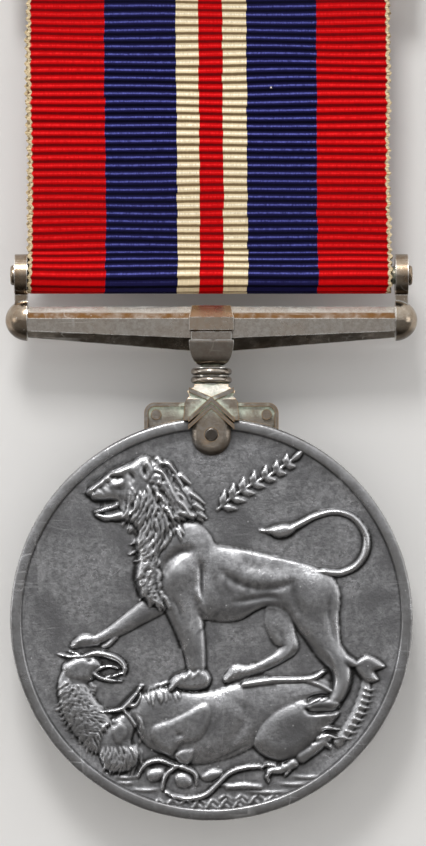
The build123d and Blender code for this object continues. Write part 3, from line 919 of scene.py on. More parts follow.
    def thatch(
        self, outline: Points, flow: Points, length: float, width: float, height: float, pitch: float,
    ) -> None:
        """Covers an area with overlapping locks.

        Args:
            outline: Rows of x and z round the area.
            flow: Rows of x, z and the direction there, in degrees.
            length: The locks' length.
            width: Their half-width.
            height: Their height.
            pitch: The distance between their roots.
        """
        ring = flowing(outline, closed=True, steps=6)
        self.ground = self.height.copy()
        steer = np.asarray(flow, float)
        turns = np.radians(steer[:, 2])
        across = np.arange(ring[:, 0].min(), ring[:, 0].max(), pitch)
        for row, z0 in enumerate(np.arange(ring[:, 1].min(), ring[:, 1].max(), pitch)):
            for x0 in across[self.within(across, np.full_like(across, z0), ring)]:
                x = x0 + (0.5 * pitch if row % 2 else 0) + self.chance.normal(0, 0.12 * pitch)
                z = z0 + self.chance.normal(0, 0.12 * pitch)
                pull = 1 / ((steer[:, 0] - x) ** 2 + (steer[:, 1] - z) ** 2 + 0.05) ** 1.5
                turn = math.atan2((pull * np.sin(turns)).sum(), (pull * np.cos(turns)).sum())
                loose = 1 + self.chance.normal(0, (0.12, 0.10, 0.12))
                turn += self.chance.normal(0, 0.10)
                self.lock(x, z, turn, length * loose[0], width * loose[1], height * loose[2], 0.12)

    def tufts(
        self, guide: Points, turns: Sequence[float], length: float, width: float, height: float,
        pitch: float, wave: float = 0.2,
    ) -> None:
        """Roots a row of locks along a line.

        Args:
            guide: Rows of x and z.
            turns: Directions along the line, in degrees.
            length: The locks' length.
            width: Their half-width.
            height: Their height.
            pitch: The distance between their roots.
            wave: Their sideways wave, as a share of their length.
        """
        self.ground = self.height.copy()
        line = flowing(guide, steps=10)
        run = np.concatenate([[0], np.cumsum(np.hypot(*np.diff(line, axis=0).T))])
        count = max(2, int(run[-1] / pitch))
        for i in range(count):
            share = (i + 0.5) / count
            x, z = (np.interp(share * run[-1], run, line[:, c]) + self.chance.normal(0, 0.06) for c in (0, 1))
            turn = np.interp(share, np.linspace(0, 1, len(turns)), turns) + self.chance.normal(0, 5)
            loose = 1 + self.chance.normal(0, (0.12, 0.12, 0.15))
            self.lock(x, z, math.radians(turn), length * loose[0], width * loose[1], height * loose[2], wave)

    def toes(
        self, places: Points, heel: tuple[float, float], tip: tuple[float, float],
        radius: tuple[float, float], top: tuple[float, float],
    ) -> None:
        """Lays the toes of a paw, one at each place.

        Args:
            places: Rows of x and z.
            heel: Where each toe starts, from its place.
            tip: Where it ends.
            radius: Its radius at each end.
            top: Its height at each end.
        """
        for x, z in places:
            start = (x + heel[0], z + heel[1], radius[0], top[0])
            end = (x + tip[0], z + tip[1], radius[1], top[1])
            self.limb([start, end])


class LionFigure:
    """The front's figure: a lion that stands over a fallen two-headed beast, with a laurel sprig."""

    def __init__(self, die: Die) -> None:
        """Works in a die.

        Args:
            die: The die of the disc's front.
        """
        self.die = die

    def strike(self) -> None:
        """Lays all the forms, from the furthest to the nearest."""
        self.sprig()
        self.ground()
        self.beast_body()
        self.beast_heads()
        self.beast_limbs()
        self.beast_surface()
        self.far_legs()
        self.torso()
        self.head()
        self.near_legs()
        self.tail()
        self.muscles()
        self.face()
        self.mane()

    def sprig(self) -> None:
        """A laurel sprig in the field, with leaves on both sides that shorten towards its tip."""
        die = self.die
        stem = np.array([(0.54, 9.78), (1.99, 11.0), (3.69, 12.09), (5.51, 13.06), (7.09, 14.15)])
        die.limb([(x, z, 0.11, 0.22) for x, z in stem])
        for k in range(7):
            share = (k + 0.4) / 7
            root = np.array([np.interp(share, np.linspace(0, 1, 5), stem[:, c]) for c in (0, 1)])
            for side in (-1, 1):
                turn = math.radians(34 + 42 * side)
                tip = root + (1.5 - 0.58 * share) * np.array([math.cos(turn), math.sin(turn)])
                belly, neck = root * 0.6 + tip * 0.4, root * 0.3 + tip * 0.7
                die.limb([(*root, 0.07, 0.16), (*belly, 0.32, 0.27), (*neck, 0.24, 0.25), (*tip, 0.05, 0.14)])
                die.stroke([root, (root + tip) / 2, tip], 0.06, -0.07, only_on=0.0)
        die.limb([(7.09, 14.15, 0.07, 0.2), (7.62, 14.54, 0.29, 0.27), (8.01, 14.93, 0.19, 0.24),
            (8.35, 15.27, 0.05, 0.15)])

    def ground(self) -> None:
        """The strokes and zigzags of the ground along the rim."""
        die = self.die
        for x0, x1, z in (
            (-8.93, -6.26, -14.05), (-8.45, -6.75, -14.54), (-7.48, -4.32, -15.17), (-1.16, 5.39, -14.73),
            (5.63, 9.03, -14.64), (6.85, 10.24, -14.0), (2.48, 7.33, -15.36),
        ):
            die.stroke([(x0, z), ((x0 + x1) / 2, z - 0.12), (x1, z)], 0.10, 0.13, only_on=0.0)
        for x0, x1, z, peaks in ((-5.29, 5.63, -16.38, 9), (0.54, 6.36, -15.99, 4), (-1.89, 2.96, -16.77, 4)):
            places = enumerate(np.linspace(x0, x1, 2 * peaks + 1))
            line = [(x, z + (0.32 if i % 2 else -0.22)) for i, x in places]
            for foot, peak, end in zip(line[:-2:2], line[1::2], line[2::2]):
                die.stroke([foot, peak], 0.10, 0.13, only_on=0.0, taper=0.3)
                die.stroke([peak, end], 0.10, 0.10, only_on=0.0, taper=0.3)

    def beast_body(self) -> None:
        """The beast's ringed tail, its trunk and its left neck."""
        die = self.die
        die.limb([(11.34, -10.97, 0.44, 0.22), (12.43, -9.39, 0.49, 0.24), (13.21, -7.94, 0.53, 0.25),
            (13.69, -6.48, 0.49, 0.24), (13.79, -5.39, 0.34, 0.2)], blend=0.05)
        die.mass([(12.72, -3.95), (13.4, -3.37), (14.03, -3.18), (15, -3.66), (15.49, -4.29),
            (14.61, -4.68), (14.91, -5.46), (13.89, -5.65), (13.06, -4.78)], top=0.4, edge=0.45)
        die.mass([(-7.48, -8.3), (-6.75, -7.21), (-5.78, -6.53), (-4.56, -6.11), (-3.11, -6.28),
            (-1.41, -6.55), (0.29, -6.38), (1.75, -5.9), (3.69, -5.61), (6.36, -5.31), (9.03, -5.22),
            (10.44, -5.56), (10.88, -6.53), (9.76, -7.69), (7.57, -8.66), (5.63, -9.88), (4.18, -11.09),
            (2.72, -11.92), (0.54, -12.69), (-1.41, -12.94), (-3.35, -12.55), (-5.05, -11.87),
            (-6.21, -10.85), (-6.8, -9.63)], top=0.44, edge=1.9)
        die.limb([(-11.89, -4.66, 1.21, 0.4), (-12.38, -5.75, 1.31, 0.4), (-12.04, -7.35, 1.5, 0.42),
            (-11.07, -8.91, 1.75, 0.42), (-9.66, -10.36, 1.75, 0.4)], blend=0.08)

    def beast_heads(self) -> None:
        """Its two heads, with their beaks and tongues."""
        die = self.die
        die.mass([(-13.3, -4.17), (-12.52, -3.57), (-11.6, -3.27), (-10.39, -3.37), (-9.76, -4.15),
            (-10.34, -4.78), (-10.68, -5.46), (-11.84, -5.7), (-12.96, -5.41)], top=0.46, edge=0.7)
        die.limb([(-11.31, -3.27, 0.22, 0.46), (-10.29, -3.03, 0.32, 0.5), (-9.1, -3.23, 0.32, 0.5),
            (-8.2, -3.66, 0.27, 0.48), (-7.77, -4.34, 0.19, 0.44), (-7.82, -4.93, 0.1, 0.36)])
        die.limb([(-10.39, -4.68, 0.15, 0.4), (-9.76, -4.29, 0.17, 0.42), (-9.03, -4.15, 0.17, 0.42),
            (-8.35, -4.34, 0.12, 0.38)])
        die.limb([(-10.49, -4.83, 0.19, 0.44), (-10, -5.17, 0.22, 0.46), (-9.22, -5.41, 0.19, 0.44),
            (-8.11, -5.51, 0.1, 0.38)])
        die.limb([(-9.37, -5.12, 0.12, 0.36), (-8.69, -5.02, 0.15, 0.38), (-8.01, -4.78, 0.1, 0.34)])
        die.limb([(-11.65, -3.32, 0.19, 0.42), (-12.67, -3.32, 0.17, 0.38), (-13.59, -3.18, 0.07, 0.3)])
        die.limb([(-11.84, -3.13, 0.15, 0.38), (-12.62, -2.89, 0.07, 0.3)])
        die.mass([(-7.91, -8.35), (-7.09, -8.86), (-6.84, -9.63), (-7.14, -10.99), (-6.55, -11.33),
            (-6.46, -12.3), (-7.04, -13.32), (-8.2, -13.69), (-9.32, -13.47), (-9.85, -12.69),
            (-10.19, -11.33), (-10.15, -10.46), (-9.17, -9.29)], top=0.46, edge=0.9)
        die.limb([(-9.85, -8.25, 0.12, 0.4), (-8.88, -8.18, 0.19, 0.46), (-7.91, -7.94, 0.24, 0.5),
            (-7.04, -7.01, 0.22, 0.5), (-6.19, -5.9, 0.07, 0.4)])
        die.limb([(-7.86, -8.08, 0.19, 0.5), (-7.28, -8.76, 0.19, 0.5), (-6.8, -9.49, 0.15, 0.44)])
        die.limb([(-7.48, -7.74, 0.17, 0.46), (-6.75, -7.6, 0.17, 0.46), (-6.31, -6.77, 0.1, 0.4)])
        die.limb([(-10.24, -10.51, 0.15, 0.48), (-9.76, -9.78, 0.19, 0.5), (-9.22, -9.29, 0.15, 0.48)])
        die.mass([(-9.08, -9.63), (-8.2, -9), (-7.48, -9.39), (-7.38, -10.36), (-7.96, -11.24),
            (-8.79, -11.09)], top=0.56, edge=0.5)

    def beast_limbs(self) -> None:
        """Its wing, thigh, feet and claws."""
        die = self.die
        die.mass([(-5.63, -10.1), (-5.29, -9.22), (-4, -8.79), (-2.6, -8.13), (-1.19, -7.4), (-0.34, -7.28),
            (0.22, -7.94), (0.1, -9.44), (-0.56, -10.65), (-1.41, -11.24), (-2.6, -11.43), (-3.49, -12.26),
            (-4.44, -11.92), (-5.29, -11.14)], top=0.58, edge=0.8, blend=0.0)
        die.mass([(3.64, -10.95), (4.18, -9.29), (5.63, -7.89), (7.57, -6.96), (9.76, -6.58),
            (11.12, -7.21), (11.36, -8.52), (10.24, -9.88), (9.03, -11.24), (7.72, -12.3), (6.12, -12.64),
            (4.56, -12.11)], top=0.6, edge=1.4, blend=0.0)
        die.limb([(2.96, -5.8, 0.34, 0.46), (5.39, -5.46, 0.36, 0.46), (7.57, -5.41, 0.34, 0.46),
            (9.03, -5.27, 0.32, 0.48), (10, -4.68, 0.22, 0.42)])
        die.limb([(8.55, -5.46, 0.29, 0.46), (9.76, -5.9, 0.29, 0.46), (10.78, -6.48, 0.22, 0.42)])
        die.limb([(8.06, -12.21, 0.63, 0.44), (9.27, -11.43, 0.53, 0.44),
            (10.34, -10.56, 0.44, 0.42)], blend=0.03)
        for toe in (
            [(9.27, -10.12), (10.24, -9.68), (11.31, -9.83)],
            [(9.47, -10.65), (10.39, -10.36), (11.12, -10.61)],
            [(9.03, -11.24), (10.0, -11.09), (10.63, -11.38)],
        ):
            die.limb([(*toe[0], 0.22, 0.46), (*toe[1], 0.22, 0.46), (*toe[2], 0.12, 0.40)])
        die.limb([(7.33, -12.84, 0.49, 0.4), (6.36, -13.37, 0.39, 0.4), (5.15, -13.52, 0.29, 0.38)])
        for toe in (
            [(5.63, -13.03), (4.9, -12.98), (4.47, -13.28)],
            [(6.36, -13.03), (6.99, -13.37), (6.6, -13.91)],
            [(5.39, -13.52), (5.0, -14.0), (5.1, -14.49)],
        ):
            die.limb([(*toe[0], 0.19, 0.40), (*toe[1], 0.19, 0.40), (*toe[2], 0.10, 0.34)])
        die.mass([(-3.35, -12.06), (-2.67, -11.53), (-1.5, -11.48), (-1.55, -12.4), (-2.13, -12.98),
            (-2.86, -12.84)], top=0.5, edge=0.4)
        die.limb([(-6.55, -14.05, 0.1, 0.26), (-6.21, -13.32, 0.17, 0.32), (-5.58, -12.79, 0.22, 0.36),
            (-4.66, -12.6, 0.22, 0.38), (-3.69, -12.89, 0.19, 0.38), (-3.11, -13.18, 0.17, 0.36)])
        die.limb([(-3.15, -13.08, 0.17, 0.36), (-2.28, -13.32, 0.22, 0.36), (-1.46, -13.81, 0.19, 0.34),
            (-1.31, -14.78, 0.1, 0.26)])
        die.limb([(-3.15, -13.18, 0.17, 0.34), (-3.88, -13.71, 0.22, 0.34), (-4.22, -14.3, 0.19, 0.32),
            (-4.37, -15.17, 0.1, 0.26)])
        die.mass([(-5.78, -13.76), (-5.14, -13.37), (-4.22, -13.52), (-4.56, -14.3),
            (-5.48, -14.49)], top=0.24, edge=0.5)
        die.mass([(-3.2, -14), (-2.38, -13.76), (-1.8, -14.25), (-1.89, -14.93),
            (-2.96, -14.97)], top=0.22, edge=0.5)
        die.mass([(-0.92, -14), (-0.05, -13.42), (0.97, -13.52), (0.68, -14.15),
            (-0.44, -14.49)], top=0.26, edge=0.5)
        die.limb([(-4.08, -15.46, 0.1, 0.26), (-3.03, -15.92, 0.17, 0.3), (-1.75, -15.99, 0.22, 0.32),
            (-0.44, -15.63, 0.24, 0.33), (0.54, -14.73, 0.24, 0.34), (1.63, -13.71, 0.24, 0.36),
            (2.96, -13.25, 0.24, 0.36), (4.3, -13.13, 0.19, 0.34)])
        die.limb([(1.41, -15.02, 0.19, 0.14), (2.96, -14.88, 0.29, 0.2), (4.42, -15.02, 0.19, 0.14)])

    def beast_surface(self) -> None:
        """Its creases, eyes, feathers and the rings of its tail."""
        die = self.die
        die.stroke([(0.54, -6.72), (2.96, -7.94), (2.48, -10.12), (-0.44, -12.3)], 0.5, -0.08)
        die.stroke([(-3.35, -10.36), (-2.38, -10.27)], 0.22, -0.08)
        die.swells((-1.89, -8.91, 1.46, 1.46, 30, 0.05), (7.82, -8.66, 1.46, 0.97, 30, 0.08),
            (1.99, -8.42, 1.7, 1.46, 0, 0.06), (4.42, -6.72, 1.7, 0.73, 0, -0.05))
        die.stroke([(-5.78, -11.33), (-5.29, -11.72), (-4.32, -12.11), (-3.35, -12.3)], 0.14, -0.16)
        die.stroke([(3.69, -11.09), (2.96, -11.33), (1.02, -12.3), (-0.92, -12.84)], 0.16, -0.1)
        die.swells((-10.87, -3.71, 0.22, 0.17, 0, -0.12), (-8.69, -9.39, 0.24, 0.19, 0, -0.1))
        die.stroke([(-9.17, -9.15), (-8.57, -9), (-8.06, -9.2)], 0.12, 0.08)
        flow = [(-13.06, -5.51, -130), (-13.25, -7.45, -120), (-12.52, -9.15, -100), (-11.36, -10.61, -84),
            (-10.15, -11.82, -80), (-11.36, -5.51, -70), (-11.12, -6.96, -52), (-10.39, -8.18, -34),
            (-9.66, -9.15, -36), (-10.39, -10.12, -50), (-11.84, -7.94, -88), (-8.69, -12.3, -92),
            (-7.23, -11.82, -70), (-9.42, -11.33, -110)]
        die.thatch([(-13.06, -5.27), (-11.94, -5.8), (-10.73, -5.56), (-10.83, -6.72), (-10.24, -7.69),
            (-9.37, -8.52), (-9.85, -9.39), (-10.39, -10.36), (-10.24, -11.58), (-11.12, -11.09),
            (-12.52, -9.63), (-13.4, -7.94), (-13.5, -6.48)], flow, 0.85, 0.12, 0.14, 0.3)
        die.thatch([(-10.05, -11.33), (-8.93, -11.48), (-7.96, -11.48), (-6.75, -11.24), (-6.75, -12.3),
            (-7.48, -13.03), (-8.69, -13.18), (-9.61, -12.55)], flow, 1.0, 0.14, 0.14, 0.34)
        die.tufts([(-6.75, -8.54), (-6.46, -9.39), (-6.63, -10.36)], [-60, -70, -80], 1.0, 0.13, 0.12, 0.24)
        die.tufts([(-6.02, -6.87), (-5.14, -6.48), (-4.08, -6.24),
            (-3.11, -6.38)], [-60, -62, -60, -50], 1.0, 0.14, 0.13, 0.28, wave=0.14)
        die.tufts([(-5.78, -6.48), (-4.81, -6.09),
            (-3.83, -5.8)], [36, 34, 30], 1.0, 0.13, 0.14, 0.32, wave=0.12)
        for k in range(9):
            x = np.interp(k / 8, (0, 0.33, 0.66, 1), (11.75, 12.72, 13.40, 13.79))
            z = np.interp(k / 8, (0, 0.33, 0.66, 1), (-10.48, -9.03, -7.57, -6.12))
            die.stroke([(x - 0.24, z + 0.10), (x + 0.29, z - 0.19),
                (x + 0.87, z - 0.19)], 0.10, 0.14, only_on=0.0, taper=0.3)
        die.stroke([(11.46, -10.8), (12.58, -9.1), (13.3, -7.6), (13.64, -6.24)], 0.14, 0.1, only_on=0.0)

    def far_legs(self) -> None:
        """The far foreleg, which holds the beast's head down, and the far hind leg."""
        die = self.die
        die.limb([(-5.05, 1.29, 1.07, 0.3), (-6.63, 0.27, 0.87, 0.3), (-8.08, -0.7, 0.7, 0.28),
            (-9.37, -1.43, 0.51, 0.25), (-10.51, -1.92, 0.41, 0.22)], blend=0.05)
        die.limb([(-10.27, -1.92, 0.44, 0.24), (-11.36, -1.92, 0.58, 0.28),
            (-12.14, -2.21, 0.41, 0.24)], blend=0.05)
        die.toes([(-12.28, -2.26), (-11.94, -1.92), (-11.5, -1.77), (-11.02, -1.77)], (0.24, 0.05),
            (-0.12, -0.15), (0.19, 0.19), (0.30, 0.31))
        die.limb([(-8.57, -1.62, 0.24, 0.2), (-9.22, -2.26, 0.22, 0.25),
            (-9.61, -2.45, 0.17, 0.22)], blend=0.05)
        die.limb([(6.2, 0.9, 1.35, 0.2), (6.1, -0.3, 1.3, 0.24), (6.45, -1.5, 1.1, 0.28),
            (6.95, -2.45, 0.82, 0.33), (6.2, -3.25, 0.60, 0.33), (4.6, -4.15, 0.50, 0.31),
            (2.96, -4.73, 0.46, 0.30)], blend=0.05)
        die.stroke([(5.6, -0.3), (6.3, -1.5), (6.3, -2.6), (5.2, -3.5)], 0.22, -0.08)
        die.stroke([(6.9, -0.2), (7.3, -1.5), (7.2, -2.6), (6.2, -3.6), (4.4, -4.4)], 0.14, 0.06)
        die.limb([(3.08, -4.66, 0.53, 0.27), (2.23, -4.78, 0.68, 0.3), (1.46, -5.27, 0.41, 0.26)], blend=0.05)
        die.toes([(1.38, -5.27), (1.75, -4.9), (2.28, -4.66), (2.84, -4.54)], (0.19, 0.10), (-0.10, -0.19),
            (0.19, 0.22), (0.31, 0.34))

    def torso(self) -> None:
        """The trunk, with the haunch, the ribs and the shoulder."""
        die = self.die
        die.mass([(-3.35, 8.77), (-1.89, 8.77), (-0.73, 8.28), (-0.05, 7.48), (0.49, 6.68), (1.99, 6.39),
            (3.69, 6.09), (5.63, 5.61), (7.57, 5.17), (9.27, 4.69), (10.54, 4.06), (11.26, 3.08),
            (11.51, 1.77), (11.36, 0.32), (11.12, -1.14), (9.76, -1.92), (8.3, -1.62), (7.28, -0.22),
            (6.36, 0.75), (5.03, 1.14), (3.93, 0.75), (2.6, -0.05), (1.02, -0.26), (-0.31, -0.07),
            (-2.13, -0.22), (-3.71, 0.41), (-4.93, 1.58), (-5.48, 3.23), (-5.63, 4.93), (-5.29, 6.63),
            (-4.56, 7.96)], top=0.5, edge=2.2)
        die.swells((9.03, 2.26, 2.31, 2.43, 0, 0.1), (1.02, 3.23, 3.16, 2.06, -5, 0.07),
            (5.15, 4.57, 2.31, 0.63, -8, -0.09), (4.18, 2.26, 2.67, 0.58, 4, -0.08),
            (-0.44, 4.32, 0.73, 1.82, 10, -0.1), (7.21, 2.26, 0.73, 2.18, 15, -0.06),
            (1.99, 4.57, 0.63, 1.46, -25, 0.05), (3.08, 3.23, 0.53, 1.5, -20, 0.04),
            (4.3, 3.23, 0.49, 1.21, -16, 0.03), (9.76, 3.47, 1.21, 0.73, -30, 0.05),
            (-3.35, 7.36, 1.21, 1.46, 0, 0.05))

    def head(self) -> None:
        """The neck under the mane, the skull, the cheek, the jaws and the brow."""
        die = self.die
        die.mass([(-5.78, 14.4), (-4.71, 13.96), (-3.64, 12.75), (-2.57, 11.34), (-1.8, 10.08),
            (-1.36, 9.35), (-1.5, 8.9), (-2.5, 8.7), (-3.5, 7.9), (-4.2, 6.9), (-4.6, 5.5), (-4.8, 4.2),
            (-4.7, 2.75), (-4.1, 1.29), (-4.1, 0.9), (-5.24, 1.05), (-6.21, 1.87), (-6.7, 2.94),
            (-6.8, 4.2), (-6.5, 5.66), (-6.8, 6.82), (-6.6, 7.89), (-7.18, 8.67), (-7.72, 9.35),
            (-8.2, 11.73), (-7.84, 13.43), (-6.75, 14.28)], top=0.58, edge=0.8, blend=0.10)
        die.mass([(-5.48, 14.54), (-6.26, 14.59), (-7.4, 13.98), (-8.52, 13.45), (-9.27, 13.01),
            (-9.85, 12.55), (-10.5, 12.1), (-11.12, 11.5), (-11.0, 11.05), (-10.5, 10.62), (-9.56, 10.5),
            (-8.93, 10.6), (-8.3, 10.51), (-7.67, 9.78), (-6.75, 9.78), (-5.78, 10.76), (-5.14, 12.21),
            (-4.95, 13.67)], top=0.5, edge=0.7, blend=0.03)
        die.mass([(-8.01, 12.02), (-6.75, 12.07), (-6.16, 10.85), (-6.26, 9.64), (-6.75, 9.06),
            (-7.14, 8.67), (-7.67, 9.01), (-8.06, 9.4), (-8.3, 10.37),
            (-8.45, 11.34)], top=0.6, edge=0.9, blend=0.08)
        die.limb([(-7.33, 9.35, 0.63, 0.52), (-8.11, 9.3, 0.44, 0.48), (-8.83, 9.15, 0.36, 0.48),
            (-9.51, 9.1, 0.34, 0.46), (-10.1, 9.3, 0.19, 0.42)], blend=0.05)
        die.limb([(-8.49, 10.2, 0.26, 0.40), (-9.08, 10.05, 0.26, 0.44), (-9.56, 9.85, 0.22, 0.44),
            (-10.24, 9.6, 0.17, 0.4)])
        die.limb([(-8.88, 11.58, 0.73, 0.54), (-9.47, 11.39, 0.73, 0.58), (-10.1, 11.24, 0.58, 0.58),
            (-10.53, 11.19, 0.39, 0.55)], blend=0.16)
        die.limb([(-6.75, 13.77, 0.19, 0.5), (-7.72, 13.33, 0.39, 0.58), (-8.45, 13.04, 0.41, 0.62),
            (-9.22, 12.6, 0.36, 0.62), (-10, 12.02, 0.29, 0.6), (-10.68, 11.58, 0.27, 0.58),
            (-10.97, 11.39, 0.19, 0.54)], blend=0.06)

    def near_legs(self) -> None:
        """The near hind leg and foreleg, with their paws."""
        die = self.die
        die.limb([(9.27, 0.8, 2.23, 0.56), (9.76, -0.9, 1.75, 0.58), (10.44, -2.6, 1.26, 0.58),
            (11.36, -3.86, 1.02, 0.60), (11.70, -5.27, 0.82, 0.64), (11.35, -6.62, 0.70, 0.68),
            (10.78, -7.4, 0.58, 0.68)], blend=0.04)
        die.limb([(11.94, -3.69, 0.63, 0.5), (12.67, -3.93, 0.44, 0.48),
            (12.96, -4.05, 0.24, 0.45)], blend=0.05)
        die.limb([(10.95, -7.5, 0.60, 0.72), (9.86, -7.5, 0.60, 0.72), (9.0, -7.66, 0.44, 0.70)])
        die.toes([(8.69, -7.74), (8.93, -7.35), (9.42, -7.11), (9.95, -7.11)], (0.24, 0.05), (-0.15, -0.19),
            (0.22, 0.22), (0.72, 0.74))
        die.limb([(-3.35, 3.96, 2.23, 0.6), (-2.81, 2.26, 1.89, 0.62), (-2.28, 0.32, 1.5, 0.62),
            (-1.75, -1.62, 1.19, 0.6), (-1.46, -3.13, 0.97, 0.58), (-1.36, -4.17, 0.87, 0.56)], blend=0.08)
        die.mass([(-3.71, -5.8), (-3.45, -5.12), (-2.47, -4.73), (-1.16, -4.39), (-0.39, -4.59),
            (-0.05, -5.27), (-0.29, -6.04), (-1.41, -6.38), (-2.77, -6.28)], top=0.58, edge=0.55)
        die.toes([(-3.54, -5.8), (-3.06, -5.31), (-2.38, -5.02), (-1.6, -4.88)], (0.44, 0.19),
            (-0.05, -0.34), (0.32, 0.32), (0.62, 0.64))

    def tail(self) -> None:
        """The tail, curled back over the haunch, and its tuft."""
        die = self.die
        die.limb([(9.03, 4.25, 0.1, 0.3), (10, 4.25, 0.32, 0.4), (10.78, 4.15, 0.34, 0.4),
            (11.75, 4.2, 0.32, 0.38), (12.96, 4.83, 0.32, 0.36), (13.74, 6, 0.32, 0.34),
            (13.84, 7.36, 0.29, 0.32), (13.3, 8.47, 0.29, 0.3), (12.33, 9.3, 0.27, 0.3),
            (10.92, 9.59, 0.27, 0.3), (9.27, 9.2, 0.27, 0.3), (7.82, 8.47, 0.29, 0.32),
            (6.85, 8.04, 0.34, 0.34)], blend=0.05)
        die.mass([(7.45, 8.28), (6.6, 8.52), (5.63, 8.33), (4.78, 8.04), (4.18, 7.94), (5.03, 7.7),
            (5.88, 7.31), (6.75, 7.41), (7.48, 7.89)], top=0.42, edge=0.4)

    def muscles(self) -> None:
        """The lines of the shoulder, legs, back and belly."""
        die = self.die
        die.stroke([(-4.5, 2.6), (-4.3, 4.3), (-3.5, 5.5), (-2.3, 6.1), (-1.1, 6.0)], 0.42, -0.22, taper=0.3)
        die.swell(-2.75, 3.9, 1.1, 1.15, 0, 0.13)
        die.stroke([(-1.15, 5.7), (-0.9, 4.2), (-0.85, 2.7), (-0.5, 1.0)], 0.27, -0.24)
        die.stroke([(-3.6, 2.2), (-2.9, 0.9), (-2.6, -0.8)], 0.22, -0.09)
        die.stroke([(0.4, 4.9), (1.9, 3.5), (3.9, 2.75), (6.2, 2.9), (7.9, 3.7)], 0.36, -0.13, taper=0.25)
        for k in range(5):
            die.stroke([(0.5 + 0.95 * k, 4.3 - 0.18 * k), (0.35 + 0.95 * k, 3.1 - 0.12 * k),
                (0.65 + 0.95 * k, 1.9)], 0.24, -0.05)
        die.stroke([(1.0, 1.4), (3.2, 1.7), (5.2, 2.0), (6.8, 1.6)], 0.3, -0.11)
        die.swell(9.4, 1.6, 1.3, 1.7, 10, 0.12)
        die.stroke([(7.6, 4.2), (7.3, 2.6), (7.7, 0.9), (8.6, -0.9)], 0.40, -0.11)
        die.stroke([(10.6, 2.6), (10.5, 0.6), (10.9, -1.4), (11.5, -3.0)], 0.26, -0.10)
        die.stroke([(9.9, -2.3), (10.8, -3.6), (11.2, -5.3), (10.9, -6.9)], 0.16, 0.08)
        die.stroke([(2.5, 6.0), (3.4, 4.9), (3.6, 4.1)], 0.5, -0.07)
        die.stroke([(8.4, -7.75), (8.8, -8.3), (10.0, -8.3), (11.2, -8.15),
            (12.0, -7.3)], 0.17, -0.30, taper=0.15)
        die.stroke([(8.4, -7.55), (8.9, -6.95), (9.8, -6.75), (10.4, -6.9)], 0.14, -0.24, taper=0.15)
        die.stroke([(-1.21, 3.23), (-1.26, 2.26), (-0.82, 1.39)], 0.22, 0.09)
        die.swells((-2.13, 4.57, 0.97, 0.85, 0, 0.06), (-3.83, 3.23, 0.83, 1.21, 0, 0.05))
        die.stroke([(-1.89, 0.32), (-1.5, -1.62), (-1.36, -3.32)], 0.3, 0.05)
        die.stroke([(8.06, 0.8), (9.03, -1.38), (10.24, -3.13)], 0.5, 0.05)
        die.stroke([(7.53, -0.36), (8.4, -1.77), (9.57, -3.13), (10.44, -4.25)], 0.22, -0.08)
        die.stroke([(11.51, -2.11), (12.09, -3.23), (12.67, -3.86)], 0.16, 0.07)
        die.stroke([(0.54, 6.48), (2.96, 6.09), (5.39, 5.51), (7.82, 4.98), (9.76, 4.4)], 0.22, 0.05)
        die.stroke([(-0.19, 0.12), (1.51, -0.02), (2.96, 0.41), (4.18, 0.95), (5.63, 1.05),
            (6.6, 0.51)], 0.2, 0.05)

    def face(self) -> None:
        """The brow, eye, nose, mouth and ear."""
        die = self.die
        die.stroke([(-9.42, 12.98), (-8.9, 13.12), (-8.3, 13.05), (-7.75, 12.75)], 0.18, 0.16)
        die.swells((-8.72, 12.68, 0.42, 0.15, -6, -0.32), (-8.02, 12.72, 0.22, 0.14, -30, -0.16))
        die.limb([(-8.82, 12.6, 0.09, 0.36), (-8.55, 12.56, 0.10, 0.37)], blend=0.01)
        die.stroke([(-9.2, 12.2), (-8.6, 12.02), (-8.1, 12.1), (-7.75, 12.4)], 0.17, 0.16)
        die.swell(-7.9, 11.35, 0.75, 0.42, -60, -0.13)
        die.stroke([(-7.5, 12.4), (-7.15, 11.7), (-7.2, 10.8)], 0.22, 0.13)
        die.stroke([(-7.55, 13.2), (-7.1, 12.85), (-6.85, 12.2)], 0.2, -0.16)
        die.stroke([(-9.9, 12.35), (-9.35, 12.25), (-8.95, 11.9)], 0.16, -0.14)
        die.swell(-10.5, 11.36, 0.17, 0.11, 20, -0.26)
        die.stroke([(-10.15, 11.95), (-9.75, 11.55), (-9.35, 11.02)], 0.11, -0.12)
        for k in range(4):
            die.stroke([(-8.3 + 0.28 * k, 11.35 - 0.2 * k), (-7.95 + 0.3 * k, 10.5 - 0.15 * k),
                (-7.75 + 0.2 * k, 9.5 - 0.1 * k)], 0.13, -0.15)
        die.stroke([(-10.34, 11.53), (-9.85, 11.82), (-9.37, 11.82), (-8.88, 11.48),
            (-8.59, 11)], 0.12, -0.08)
        die.stroke([(-10.58, 10.76), (-9.85, 10.59), (-9.17, 10.61), (-8.59, 10.71)], 0.13, -0.25)
        die.limb([(-10.58, 11.63, 0.22, 0.62), (-10.92, 11.44, 0.22, 0.62), (-11.02, 11.29, 0.15, 0.56)])
        die.stroke([(-11.07, 11.1), (-10.78, 11.05), (-10.53, 11.14)], 0.13, -0.22, taper=0.6)
        die.stroke([(-8.2, 10.71), (-8.01, 10.08), (-8.06, 9.4)], 0.2, -0.07)
        die.stroke([(-7.57, 11.97), (-6.75, 11.44), (-6.6, 10.51), (-6.89, 9.54)], 0.3, 0.05)
        die.stroke([(-8.45, 10.37), (-9.08, 10.22), (-9.76, 9.98)], 0.16, -0.3)
        die.mass([(-5.78, 14.35), (-6.26, 13.91), (-6.6, 13.23), (-6.36, 12.55), (-5.78, 12.16),
            (-5.24, 12.6), (-5.05, 13.23), (-5.29, 13.96)], top=0.7, edge=0.35, blend=0.0)
        die.swell(-5.97, 13.23, 0.3, 0.62, 8, -0.3)

